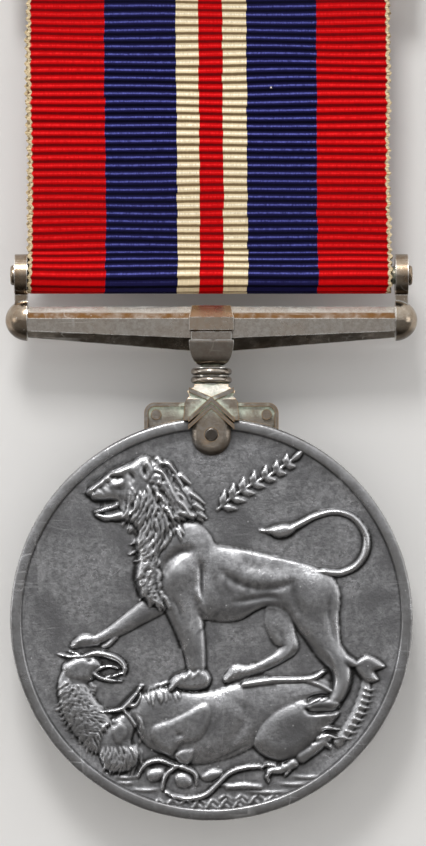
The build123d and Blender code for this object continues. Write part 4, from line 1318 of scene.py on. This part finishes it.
    def mane(self) -> None:
        """The mane: long locks down the back of the neck, and shorter ones on the throat and chest."""
        die = self.die
        flow = [(-5.39, 13.96, -30), (-3.35, 12.41, -32), (-1.89, 10.22, -18), (-1.41, 9.49, -10),
            (-4.22, 11.44, -36), (-3.35, 9.64, -10), (-5.14, 12.07, -60), (-5.65, 11.68, -96),
            (-5.39, 10.37, -92), (-4.66, 9.25, -60), (-6.75, 8.77, -124), (-5.78, 7.99, -120),
            (-6.75, 7.11, -126), (-5.65, 6.39, -116), (-6.46, 5.17, -104), (-6.02, 3.72, -88),
            (-6.26, 2.26, -62), (-4.81, 1.29, -44), (-7.14, 9.54, -112)]
        die.thatch([(-5.3, 14.2), (-4.32, 13.6), (-3.11, 12.2), (-2.13, 10.7), (-1.7, 9.7), (-2.0, 9.1),
            (-3.2, 8.9), (-4.2, 9.4), (-4.61, 10.51), (-5.14, 11.97),
            (-5, 13.18)], flow, 1.6, 0.25, 0.25, 0.56)
        die.thatch([(-5.87, 12.1), (-5.14, 11.6), (-4.4, 10.4), (-3.6, 9.3), (-3.3, 8.4), (-4.1, 7.4),
            (-4.7, 5.9), (-4.9, 4.4), (-4.8, 2.9), (-4.4, 1.6), (-5.29, 1.29), (-6.16, 2.26), (-6.55, 3.47),
            (-6.46, 5.17), (-6.46, 6.39), (-6.46, 7.6), (-7.0, 8.5), (-7.3, 9.3), (-7.1, 10.4),
            (-6.6, 11.4)], flow, 1.25, 0.2, 0.23, 0.46)
        die.tufts([(-7.0, 11.9), (-7.3, 11.0), (-7.5, 10.0),
            (-7.6, 9.2)], [-100, -95, -100, -110], 1.1, 0.18, 0.18, 0.36)
        die.tufts([(-5.6, 12.2), (-5.1, 12.9), (-5.0, 13.7),
            (-5.3, 14.3)], [-40, -30, -20, -10], 1.0, 0.18, 0.18, 0.34)


@dataclass(frozen=True)
class Wreath:
    """The back's figure: two plain laurel branches, tied at the bottom and open at the top."""

    radius: float = 12.6
    start: float = -84.0
    end: float = 62.0
    pairs: int = 15
    leaf: float = 2.5

    def strike(self, die: Die) -> None:
        """Lays the branches and their tie.

        Args:
            die: The die of the disc's back.
        """
        for side in (-1, 1):
            turns = np.radians(np.linspace(self.start, self.end, 15))
            stem = [(side * self.radius * math.cos(a), self.radius * math.sin(a)) for a in turns]
            die.limb([(x, z, 0.14, 0.14) for x, z in stem])
            for k in range(self.pairs):
                share = (k + 0.6) / self.pairs
                at = math.radians(self.start + share * (self.end - self.start))
                root = self.radius * np.array([side * math.cos(at), math.sin(at)])
                along = math.atan2(math.cos(at), -side * math.sin(at))
                for lean in (-34, 34, 0) if k % 3 == 0 else (-34, 34):
                    self.leaf_at(die, root, along + math.radians(lean), self.leaf * (1 - 0.35 * share))
        die.mass([(-1.5, -13.3), (0, -13.0), (1.5, -13.3), (1.6, -11.9), (0, -12.2),
            (-1.6, -11.9)], 0.24, 0.5)
        for side in (-1, 1):
            die.limb([(0, -12.6, 0.5, 0.22), (side * 1.6, -14.0, 0.42, 0.2), (side * 2.3, -15.4, 0.3, 0.12)])
            die.stroke([(side * 0.4, -12.9), (side * 1.5, -14.1),
                (side * 2.1, -15.1)], 0.09, -0.06, only_on=0.0)

    @staticmethod
    def leaf_at(die: Die, root: np.ndarray, turn: float, length: float) -> None:
        """Lays one leaf with its midrib.

        Args:
            die: The die.
            root: Where the leaf starts.
            turn: Its direction, in radians.
            length: Its length.
        """
        tip = root + length * np.array([math.cos(turn), math.sin(turn)])
        belly, neck = root * 0.55 + tip * 0.45, root * 0.25 + tip * 0.75
        die.limb([(*root, 0.08, 0.12), (*belly, 0.46, 0.24), (*neck, 0.32, 0.22), (*tip, 0.05, 0.10)])
        die.stroke([root, (root + tip) / 2, tip], 0.07, -0.07, only_on=0.0)


# ------------------------------------------------------------------------------ disc
@dataclass
class StruckDisc:
    """The disc: a blank with a raised rim, and the relief struck into each face. Millimetres.

    The dish and the painted shadow ring by the rim start at a share of the face's radius.
    """

    finish: WornMetal
    rim_finish: WornMetal
    diameter: float = 36.0
    thickness: float = 3.0
    rim: float = 0.95
    recess: float = 0.3
    depth: float = -3.27
    level: float = -57.1
    wall: float = 0.22
    seat: float = 0.2
    round_over: float = 0.30
    inner_round: float = 0.10
    nicks: float = 0.10
    backing: float = 0.27
    dish: float = 0.07
    dish_from: float = 0.93
    rim_shadow: float = 0.85
    rim_shadow_from: float = 0.986
    front_cells: int = 310
    back_cells: int = 176

    def build(self, effects: Effects) -> list[Piece]:
        """Builds the blank and both struck faces.

        Args:
            effects: The shared effects.

        Returns:
            The three pieces.
        """
        metal = self.finish.material("Struck cupro-nickel", effects)
        edge = self.rim_finish.material("Cupro-nickel rim", effects)
        blank = self.blank(edge)
        front = self.face(
            "disc_front_relief", -1, self.front_cells, lambda die: LionFigure(die).strike(), metal,
        )
        back = self.face("disc_back_relief", 1, self.back_cells, Wreath().strike, metal)
        return [blank, front, back]

    def blank(self, material: Material) -> Piece:
        """Turns the blank: a round with a bevelled, slightly nicked edge and a sunk seat in each face.

        Args:
            material: The rim's material.

        Returns:
            The blank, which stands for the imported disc.
        """
        Bench.clear()
        radius, half = self.diameter / 2 * MM, self.thickness / 2 * MM
        bpy.ops.mesh.primitive_cylinder_add(
            vertices=288, radius=radius, depth=2 * half, rotation=(math.pi / 2, 0, 0),
        )
        work = Bench("disc_blank")
        work.settle()
        work.select("FACE", lambda f: abs(f.normal.y) > 0.9)
        bpy.ops.mesh.inset(thickness=self.rim * MM, use_even_offset=True)
        bpy.ops.mesh.inset(
            thickness=self.wall * MM, depth=-(self.recess + self.seat) * MM, use_even_offset=True,
        )
        work.leave()
        corners = work.piece.data.vertices

        def on_ring(edge: bpy.types.MeshEdge, ring: float) -> bool:
            """Whether an edge runs round the face at a radius."""
            ends = [corners[i].co for i in edge.vertices]
            return all(abs(math.hypot(e.x, e.z) - ring) < 2e-5 and abs(abs(e.y) - half) < 1e-6 for e in ends)

        work.select("EDGE", lambda e: on_ring(e, radius))
        bpy.ops.mesh.bevel(offset=self.round_over * MM, segments=4, affect="EDGES")
        work.leave()
        work.select("EDGE", lambda e: on_ring(e, radius - self.rim * MM))
        bpy.ops.mesh.bevel(offset=self.inner_round * MM, segments=3, affect="EDGES")
        work.leave()
        self.nick(work, radius)
        work.place(work.coordinates() + np.array([0, self.depth, self.level]) * MM)
        work.smooth(40)
        piece = work.hand_over(Body.MEDAL, material)
        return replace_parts(piece, "disc")

    def nick(self, work: Bench, radius: float) -> None:
        """Wears the edge a little unevenly.

        Args:
            work: The blank, while it is still centred.
            radius: The blank's radius in metres.
        """
        group = work.piece.vertex_groups.new(name="edge")
        outer = [v.index for v in work.piece.data.vertices if math.hypot(v.co.x, v.co.z) > radius - 0.0004]
        group.add(outer, 1.0, "REPLACE")
        wear = bpy.data.textures.new("Edge wear", "CLOUDS")
        wear.noise_scale = 0.0016
        wear.noise_depth = 3
        work.modify(
            "DISPLACE", texture=wear, texture_coords="LOCAL", strength=self.nicks * MM, mid_level=0.62,
            vertex_group="edge",
        )

    def face(
        self, name: str, side: int, cells: int, strike: Callable[[Die], None], material: Material,
    ) -> Piece:
        """Strikes one face: a fine grid drawn out to a disc, raised by its die, and closed behind.

        Args:
            name: The piece's name.
            side: -1 for the front, 1 for the back.
            cells: Grid cells across.
            strike: What lays the figure in the die.
            material: Its material.

        Returns:
            The struck face.
        """
        Bench.clear()
        bpy.ops.mesh.primitive_grid_add(
            x_subdivisions=cells, y_subdivisions=cells, size=2, rotation=(math.pi / 2, 0, 0),
        )
        work = Bench(name)
        work.settle()
        flat = work.coordinates()
        u, v = flat[:, 0], flat[:, 2]
        wide = np.abs(u) > np.abs(v)
        reach = np.where(wide, u, v)
        safe = np.where(np.abs(reach) < 1e-12, 1.0, reach)
        turn = np.where(wide, math.pi / 4 * v / safe, math.pi / 2 - math.pi / 4 * u / safe)
        radius = self.diameter / 2 - self.rim
        x, z = radius * reach * np.cos(turn), radius * reach * np.sin(turn)
        die = Die(x, z)
        strike(die)
        height = self.soften(die.height.reshape(cells + 1, cells + 1))
        lie = self.depth + side * (self.thickness / 2 - self.recess)
        out = np.hypot(x, z) / radius
        dish = self.dish * np.clip((out - self.dish_from) / (1 - self.dish_from), 0, 1) ** 2
        work.place(np.column_stack([x, lie + side * (height.ravel() + dish), z + self.level]) * MM)
        hollow, crest = self.curving(height)
        # A dark ring just inside the rim is painted shadow; it joins the hollows, which darken partly as
        # patina, partly as painted shade.
        painted_rim_shadow = self.rim_shadow * np.clip((out - self.rim_shadow_from) / 0.008, 0, 1)
        work.attribute("hollow", np.maximum(hollow.ravel(), painted_rim_shadow))
        work.attribute("crest", crest.ravel())
        work.select("VERT", lambda v: False)
        bpy.ops.mesh.select_mode(type="EDGE")
        bpy.ops.mesh.select_non_manifold()
        bpy.ops.mesh.extrude_region_move(TRANSFORM_OT_translate={"value": (0, -side * self.backing * MM, 0)})
        bpy.ops.mesh.edge_face_add()
        work.leave()
        work.outward()
        work.smooth(60)
        return work.hand_over(Body.MEDAL, material)

    @staticmethod
    def soften(height: np.ndarray) -> np.ndarray:
        """Rounds the relief's edges a little, as striking and wear do."""
        padded = np.pad(height, 1, mode="edge")
        rows = (padded[:-2] + 4 * padded[1:-1] + padded[2:]) / 6
        return (rows[:, :-2] + 4 * rows[:, 1:-1] + rows[:, 2:]) / 6

    @staticmethod
    def curving(height: np.ndarray) -> tuple[np.ndarray, np.ndarray]:
        """Finds the hollows and the crests of the relief.

        Args:
            height: The relief, as a grid.

        Returns:
            A share from 0 to 1 for each, at each point.
        """
        found = np.zeros_like(height)
        for step, weight in ((1, 0.9), (2, 0.7), (4, 0.4)):
            padded = np.pad(height, step, mode="edge")
            low, middle, high = slice(None, -2 * step), slice(step, -step), slice(2 * step, None)
            around = padded[low, middle] + padded[high, middle] + padded[middle, low] + padded[middle, high]
            found += weight * (around - 4 * height)
        return np.clip(found / 0.36, 0, 1), np.clip(-found / 0.45, 0, 1)


# ------------------------------------------------------------------------------ ribbon
@dataclass
class Ribbon:
    """The ribbon: one corded length, folded over the rod and over the brooch's rail. Millimetres."""

    cloth: CordedCloth
    thread: TwistedThread
    half_width: float = 16.08
    picot: float = 0.22
    lean: float = -0.008
    aside: float = -0.16
    pitch: float = 0.683
    rows_per_rib: int = 6
    columns: int = 56
    thickness: float = 0.46
    valley: float = 0.58
    wander: float = 0.10
    rod: tuple[float, float] = (-3.27, -26.35)
    loop: float = 1.28
    slack: float = 0.14
    rail: tuple[float, float] = (-2.30, 5.0)
    over: float = 0.70
    back: float = -3.02
    front: float = -3.52
    bottom: float = -24.3
    seams: tuple[float, float] = (-5.1, -7.7)
    stitches_each: int = 12
    stitch_pitch: float = 2.55
    strand: float = 0.16
    thin_edge: float = 0.45
    seed: int = 11

    def build(self, effects: Effects) -> list[Piece]:
        """Builds the ribbon and its stitches.

        Args:
            effects: The shared effects.

        Returns:
            The pieces.
        """
        return [self.weave(effects), self.stitches()]

    def centreline(self) -> np.ndarray:
        """The line that the ribbon follows, from its hidden end down, round the rod, and up over the rail.

        Returns:
            Rows of y and z.
        """
        line = [(self.back, -3.9), (self.back, self.bottom)]
        line += self.arc((self.rod[0], self.rod[1] - self.slack), self.loop, 28, -208, 60)
        rise = [(self.front, self.bottom), (self.front, -10.0), (self.front, 0.4), (-3.44, 1.6), (-3.16, 3.0)]
        line += [tuple(p) for p in flowing([*rise, (-3.0, 4.0), (-3.0, self.rail[1])])]
        line += self.arc(self.rail, self.over, 176, 4, 24)
        fall = [(-1.6, 5.0), (-1.6, 3.7), (-1.74, 3.05), (-2.2, 2.62), (-2.74, 2.2), (-3.0, 1.55)]
        fall += [
            (self.back, 0.4), (self.back, -1.4), (-2.86, -2.5), (-2.56, -3.4), (-2.53, -4.6), (-2.53, -9.0),
        ]
        line += [tuple(p) for p in flowing(fall)]
        return np.array(line)

    @staticmethod
    def arc(
        middle: tuple[float, float], radius: float, start: float, end: float, count: int,
    ) -> list[tuple[float, float]]:
        """Points along an arc.

        Args:
            middle: Its middle's y and z.
            radius: Its radius.
            start: The angle in degrees at which it starts.
            end: The angle at which it ends.
            count: How many points.

        Returns:
            The points' y and z.
        """
        turns = [math.radians(a) for a in np.linspace(start, end, count)]
        return [(middle[0] + radius * math.cos(a), middle[1] + radius * math.sin(a)) for a in turns]

    def weave(self, effects: Effects) -> Piece:
        """Lays a grid along the line, gives it ribs and looped edges, and thickens it.

        Args:
            effects: The shared effects.

        Returns:
            The ribbon.
        """
        line = self.centreline()
        run = np.concatenate([[0], np.cumsum(np.hypot(*np.diff(line, axis=0).T))])
        ribs = int(run[-1] / self.pitch)
        rows = ribs * self.rows_per_rib
        Bench.clear()
        bpy.ops.mesh.primitive_grid_add(x_subdivisions=self.columns, y_subdivisions=rows, size=2)
        work = Bench("ribbon_cloth")
        flat = work.coordinates()
        across, share = flat[:, 0], (flat[:, 1] + 1) / 2
        chance = np.random.default_rng(self.seed)
        place = share * ribs
        crown = 0.5 + 0.5 * np.cos(2 * math.pi * place)
        waves, limits = 0, ((0.3, 1.0), (1.5, 9.0), (0.1, 0.7), (0, 6.3))
        for _ in range(7):
            swing, wide, long, start = (chance.uniform(*ends) for ends in limits)
            waves = waves + swing * np.sin(across * wide + place * long + start)
        inner = np.clip(np.minimum(share, 1 - share) * 40, 0, 1)
        s = share * run[-1] + self.wander * waves / 3 * inner
        rib = np.round(place).astype(int)
        reach = chance.normal(0, 0.05, rib.max() + 1)[rib]
        rim = np.clip((np.abs(across) - 0.97) / 0.03, 0, 1)
        x = across * (self.half_width + 0.05 * np.sin(share * 23))
        x += np.sign(across) * rim * (self.picot * crown**1.5 + reach)
        fold = np.interp(share, (0.0, 0.33, 0.36, 0.8, 0.84, 1.0), (-0.12, -0.10, 0.04, 0.04, 0.10, 0.12))
        y, z = (np.interp(s, run, line[:, c]) for c in (0, 1))
        x += fold + self.aside + self.lean * (z - self.rod[1])
        work.place(np.column_stack([x, y, z]) * MM)
        work.piece.data.uv_layers[0].name = "weave"
        self.map_weave(work, across, share)
        group = work.piece.vertex_groups.new(name="cords")
        edge = 1 - self.thin_edge * rim
        for index, weight in enumerate(np.clip(crown**0.7 * edge, 0, 1)):
            group.add([index], float(weight), "REPLACE")
        cords = {"vertex_group": "cords", "thickness_vertex_group": self.valley}
        work.modify(
            "SOLIDIFY", thickness=self.thickness * MM, offset=0, use_even_offset=False, use_rim=True,
            **cords
        )
        work.outward()
        work.smooth(75)
        work.piece.data.materials.clear()
        work.piece.data.materials.append(self.cloth.material("Corded ribbon", effects))
        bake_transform(work.piece)
        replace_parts(work.piece, "ribbon", "ribbon_head")
        return work.piece

    @staticmethod
    def map_weave(work: Bench, across: np.ndarray, share: np.ndarray) -> None:
        """Lays the cloth's map: across from 0 to 1, and along from 0 to 1."""
        mesh = work.piece.data
        owner = np.empty(len(mesh.loops), int)
        mesh.loops.foreach_get("vertex_index", owner)
        laid = np.column_stack([(across[owner] + 1) / 2, share[owner]])
        mesh.uv_layers["weave"].data.foreach_set("uv", laid.ravel())

    def stitches(self) -> Piece:
        """Models one stitch of the seam, and copies it along two rows on the back.

        Returns:
            The stitches, joined as one thread.
        """
        made = []
        for row, level in enumerate(self.seams):
            for k in range(self.stitches_each):
                Bench.clear()
                if not made:
                    bpy.ops.mesh.primitive_uv_sphere_add(segments=14, ring_count=9, radius=self.strand * MM)
                    first = Bench("ribbon_stitching_thread")
                    points = first.coordinates()
                    points[:, 0] *= 4.6
                    points[:, 1] -= 0.22 * MM * (points[:, 0] / (0.74 * MM)) ** 2
                    first.place(points)
                    first.smooth(60)
                    made.append(first.piece)
                else:
                    copy = made[0].copy()
                    copy.data = made[0].data.copy()
                    bpy.context.scene.collection.objects.link(copy)
                    made.append(copy)
                across = -14.0 + self.stitch_pitch * k + 0.3 * row
                made[-1].location = (across * MM, -2.24 * MM, level * MM)
                made[-1].rotation_euler = (0, math.radians(3 if k % 2 else -2), 0)
        Bench.clear()
        for piece in made:
            piece.select_set(True)
        bpy.context.view_layer.objects.active = made[0]
        bpy.ops.object.join()
        work = Bench("ribbon_stitching_thread")
        work.settle()
        piece = work.hand_over(Body.DROP, self.thread.material("Sewing thread"))
        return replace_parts(piece, "ribbon_stitching")


# ------------------------------------------------------------------------------ fittings
@dataclass
class Fittings:
    """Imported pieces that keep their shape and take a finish: each finish names its nodes."""

    finishes: dict[str, tuple[WornMetal, tuple[str, ...]]]

    def dress(self, nodes: dict[str, Piece], effects: Effects) -> list[Piece]:
        """Gives each node its material.

        Args:
            nodes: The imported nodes.
            effects: The shared effects.

        Returns:
            The dressed nodes.
        """
        dressed = []
        for name, (finish, members) in self.finishes.items():
            material = finish.material(name, effects)
            for member in members:
                node = nodes[member]
                node.data.materials.clear()
                node.data.materials.append(material)
                dressed.append(node)
        return dressed


# ------------------------------------------------------------------------------ studio
@dataclass
class Studio:
    """The camera, the lamps, the surroundings, the floor and the backdrop. Metres.

    The room's and the front's colours run from below, by the level of the eye, to overhead.
    """

    lens: float = 200.0
    eye: Triple = (0.000145, -0.42433, -0.039575)
    middle: Triple = (0, -0.003, -0.038)
    paper: Colour = (0.685, 0.675, 0.66)
    painted_reflection_dark: Colour = (0.14, 0.135, 0.13)
    behind: float = 0.0019
    below: float = -0.085
    around: float = 0.40
    key: float = 1.0
    shade_in_front: float = 0.95
    room: tuple[Colour, ...] = ((0.15, 0.145, 0.14), (0.85, 0.84, 0.83), (2.7, 2.7, 2.72))
    ahead: tuple[Colour, ...] = ((0.16, 0.16, 0.16), (1.0, 1.0, 1.02), (2.0, 2.0, 2.02))
    tall: float = 3.0
    sensor: float = 36.0

    def build(self) -> None:
        """Sets up everything but the medal."""
        bpy.context.scene.view_settings.view_transform = "Standard"
        self.camera()
        self.lamps()
        self.surroundings()
        self.floor()
        self.backdrop()

    def camera(self) -> None:
        """A long lens, square to the medal's front."""
        data = bpy.data.cameras.new("Camera")
        data.lens = self.lens
        data.sensor_width = self.sensor
        data.clip_start = 0.01
        data.clip_end = 20.0
        camera = bpy.data.objects.new("Camera", data)
        camera.location = self.eye
        camera.rotation_euler = (math.pi / 2, 0, 0)
        bpy.context.scene.collection.objects.link(camera)
        bpy.context.scene.camera = camera

    def lamp(self, name: str, place: Triple, size: float, power: float) -> None:
        """Hangs a soft square lamp that faces the medal.

        Args:
            name: Its name.
            place: Where it hangs.
            size: Its side.
            power: Its power in watts.
        """
        data = bpy.data.lights.new(name, "AREA")
        data.shape = "SQUARE"
        data.size = size
        data.energy = power
        lamp = bpy.data.objects.new(name, data)
        lamp.location = place
        aim = Vector(self.middle) - Vector(place)
        lamp.rotation_euler = aim.to_track_quat("-Z", "Y").to_euler()
        bpy.context.scene.collection.objects.link(lamp)

    def lamps(self) -> None:
        """A key above and in front, and weak fills at the sides and behind."""
        self.lamp("Key", (-0.06, -0.30, 0.27), 0.12, self.key)
        self.lamp("Side fill", (0.44, -0.16, 0.0), 0.16, 0.15)
        self.lamp("Side fill left", (-0.46, -0.16, -0.02), 0.16, 0.17)
        self.lamp("Back fill", (0.10, 0.45, 0.25), 0.40, 0.6)

    def surroundings(self) -> None:
        """A plain grey room, dark below and bright overhead, that the camera sees as paper."""
        world = bpy.data.worlds.new("Room")
        bpy.context.scene.world = world
        world.use_nodes = True
        world.node_tree.nodes.clear()
        graph = Graph(world.node_tree)
        toward = graph.axes(graph.node("TexCoord").outputs["Generated"])
        tone = graph.ramp(graph.spread(toward["Z"], -0.8, 0.9), tuple(zip((0.0, 0.5, 1.0), self.room)))
        front = graph.times(graph.spread(toward["Y"], -0.10, -0.75), self.shade_in_front)
        ahead = graph.ramp(graph.spread(toward["Z"], -0.36, 0.36), tuple(zip((0.0, 0.5, 1.0), self.ahead)))
        tone = graph.mix(front, tone, ahead)
        seen = graph.node("LightPath")
        light = graph.node("Background")
        graph.put(light.inputs["Color"], tone)
        light.inputs["Strength"].default_value = self.around
        shown = graph.node("Background")
        graph.put(shown.inputs["Color"], self.paper)
        shown.inputs["Strength"].default_value = 1.0
        both = graph.node("MixShader")
        graph.put(both.inputs[0], seen.outputs["Is Camera Ray"])
        graph.put(both.inputs[1], light.outputs[0])
        graph.put(both.inputs[2], shown.outputs[0])
        out = graph.node("OutputWorld")
        graph.put(out.inputs["Surface"], both.outputs[0])

    def sheet_of_paper(self, name: str, one_sided: bool) -> Material:
        """Pale paper, which from behind lets everything through if it is one-sided, and if two-sided shows
        dark to reflections as a painted dark reflection.

        Args:
            name: The material's name.
            one_sided: Whether it shows only from its front.

        Returns:
            The material.
        """
        made, graph, shader = new_material(name)
        tint = graph.noise(graph.millimetres(), 0.04, 2.0)
        low = tuple(c * 0.985 for c in self.paper)
        shade = graph.mix(graph.spread(tint, 0.3, 0.7), low, self.paper)
        # A two-sided sheet shows dark to glossy rays: a painted dark reflection in the metal.
        if not one_sided:
            seen = graph.node("LightPath")
            shade = graph.mix(seen.outputs["Is Glossy Ray"], shade, self.painted_reflection_dark)
        graph.put(shader.inputs["Base Color"], shade)
        shader.inputs["Roughness"].default_value = 0.9
        shader.inputs["Specular IOR Level"].default_value = 0.1
        if one_sided:
            side = graph.node("NewGeometry")
            clear = graph.node("BsdfTransparent")
            both = graph.node("MixShader")
            graph.put(both.inputs[0], side.outputs["Backfacing"])
            graph.put(both.inputs[1], shader.outputs[0])
            graph.put(both.inputs[2], clear.outputs[0])
            out = next(n for n in made.node_tree.nodes if n.type == "OUTPUT_MATERIAL")
            graph.put(out.inputs["Surface"], both.outputs[0])
        return made

    def floor(self) -> None:
        """A pale floor under the medal, which metal reflects as dark: a painted reflection."""
        Bench.clear()
        bpy.ops.mesh.primitive_plane_add(size=6.0, location=(0, 0, self.below))
        work = Bench("floor")
        work.settle()
        work.piece.data.materials.append(self.sheet_of_paper("Pale floor", False))

    def backdrop(self) -> None:
        """A pale upright sheet just behind the medal, down to the floor."""
        Bench.clear()
        middle = (0, self.behind, self.below + self.tall)
        bpy.ops.mesh.primitive_plane_add(size=2 * self.tall, location=middle, rotation=(math.pi / 2, 0, 0))
        work = Bench("backdrop")
        work.settle()
        work.piece.data.materials.append(self.sheet_of_paper("Pale backdrop", True))


# ------------------------------------------------------------------------------ finishes in use
# Each stripe's colours: on a rib (painted light), between ribs (painted shade), and in a gleam (painted
# highlight).
RED = ((0.44, 0.001, 0.002), (0.12, 0.0, 0.001), (0.78, 0.02, 0.022))
NAVY = ((0.008, 0.007, 0.040), (0.001, 0.001, 0.008), (0.12, 0.13, 0.46))
CREAM = ((0.64, 0.52, 0.33), (0.13, 0.09, 0.045), (0.97, 0.92, 0.76))
RIBBON_CLOTH = CordedCloth(
    stripes=(
        Stripe(6.75, *RED), Stripe(6.37, *NAVY), Stripe(2.0, *CREAM), Stripe(2.1, *RED),
        Stripe(2.1, *CREAM), Stripe(6.36, *NAVY), Stripe(6.43, *RED),
    ),
    selvedge=Stripe(0.4, *CREAM),
    width=32.0,
    ribs=106.0,
)
# Down-facing faces are darkened as painted shade; corners and hollows darken partly with dirt, partly as
# painted shade; the bar's and saddle's facets brown partly as tarnish, partly as painted reflection.
SILVERED = WornMetal(
    base=(0.60, 0.565, 0.51), toned=(0.20, 0.095, 0.03), dirt_and_shade=(
        0.025, 0.018, 0.011,
    ), bright=(0.97, 0.95, 0.90),
    roughness=0.20, toning=0.2, under=0.9, dirt_and_shade_share=0.95, reach=0.9, corroded=0.04, wear=0.95, grain=0.15,
)
BAR = replace(SILVERED, facets=0.98, band=(-30.22, -29.72), scratched=0.25)
ENDS = replace(SILVERED, base=(0.50, 0.44, 0.36), toned=(0.24, 0.15, 0.08), toning=0.75, mottle=0.4)
SADDLE = replace(
    SILVERED, facets=0.75, base=(0.48, 0.42, 0.35), toned=(0.40, 0.22, 0.11), roughness=0.24, dirt_and_shade_share=1.0,
)
TURNED = replace(SILVERED, base=(0.48, 0.44, 0.39), roughness=0.17, dirt_and_shade_share=1.0)
CRUSTED = WornMetal(
    base=(0.50, 0.47, 0.44), toned=(0.26, 0.20, 0.14), dirt_and_shade=(0.030, 0.020, 0.011), bright=(0.50, 0.33, 0.19),
    corrosion=(0.42, 0.45, 0.38), roughness=0.28, toning=0.7, under=0.7, dirt_and_shade_share=1.0, reach=1.1, corroded=0.95,
    wear=0.95, grain=1.0, mottle=0.5, clean_below=-38.9,
)
RIVET = WornMetal(
    base=(0.16, 0.15, 0.14), toned=(0.08, 0.06, 0.04), dirt_and_shade=(0.02, 0.016, 0.012), bright=(0.95, 0.92, 0.85),
    roughness=0.22, toning=0.5, dirt_and_shade_share=0.9, reach=0.4, wear=1.0,
)
STRUCK = WornMetal(
    base=(0.64, 0.64, 0.655), toned=(0.23, 0.23, 0.235), dirt_and_shade=(0.02, 0.019, 0.018), bright=(0.95, 0.95, 0.96),
    roughness=0.26, toning=0.95, dirt_and_shade_share=0.95, reach=0.5, wear=0.6, scratched=0.2, specks=0.8, grain=1.1,
    mottle=0.8, carved=True,
)
RIM = WornMetal(
    base=(0.50, 0.50, 0.51), toned=(0.26, 0.255, 0.25), dirt_and_shade=(0.028, 0.025, 0.022), bright=(0.95, 0.95, 0.96),
    roughness=0.25, toning=0.7, dirt_and_shade_share=0.9, reach=0.5, wear=0.95, grain=0.6, mottle=0.5,
)
BRASS = WornMetal(
    base=(0.60, 0.47, 0.28), toned=(0.36, 0.25, 0.13), dirt_and_shade=(0.05, 0.035, 0.02), bright=(0.80, 0.68, 0.46),
    roughness=0.36, toning=0.6, dirt_and_shade_share=0.7, reach=0.7, wear=0.7,
)
PIN_WIRE = WornMetal(
    base=(0.66, 0.56, 0.38), toned=(0.42, 0.33, 0.20), dirt_and_shade=(0.05, 0.04, 0.025), bright=(0.84, 0.75, 0.56),
    roughness=0.28, toning=0.5, dirt_and_shade_share=0.5, reach=0.5, wear=0.6,
)


def main() -> None:
    """Builds the medal from the disc upwards, and reports each piece."""
    logging.basicConfig(level=logging.INFO, format="%(name)s: %(message)s")
    effects = Effects()
    Studio().build()
    built = StruckDisc(STRUCK, RIM).build(effects)
    built += Ribbon(RIBBON_CLOTH, TwistedThread()).build(effects)
    suspender = Fittings(
        {
            "Silvered bar": (BAR, ("cross_bar",)),
            "Silvered saddle": (SADDLE, ("saddle",)),
            "Silvered ends": (ENDS, ("left_knob", "right_knob", "left_lug", "right_lug", "ribbon_rod")),
            "Silvered turnings": (TURNED, ("centre_boss", "collar", "spindle")),
            "Crusted claw": (CRUSTED, ("claw", "left_scroll", "right_scroll")),
            "Dark rivet": (RIVET, ("claw_rivet",)),
        },
    )
    brooch = Fittings(
        {
            "Brooch brass": (BRASS, ("brooch_plate", "hinge_bracket", "hinge_rivet", "pin_catch")),
            "Pin wire": (PIN_WIRE, ("brooch_pin",)),
        },
    )
    for fittings in (suspender, brooch):
        built += fittings.dress(frame["nodes"], effects)
    for piece in built:
        log.info("%s: %d faces", piece.name, len(piece.data.polygons))


if __name__ == "__main__":
    main()
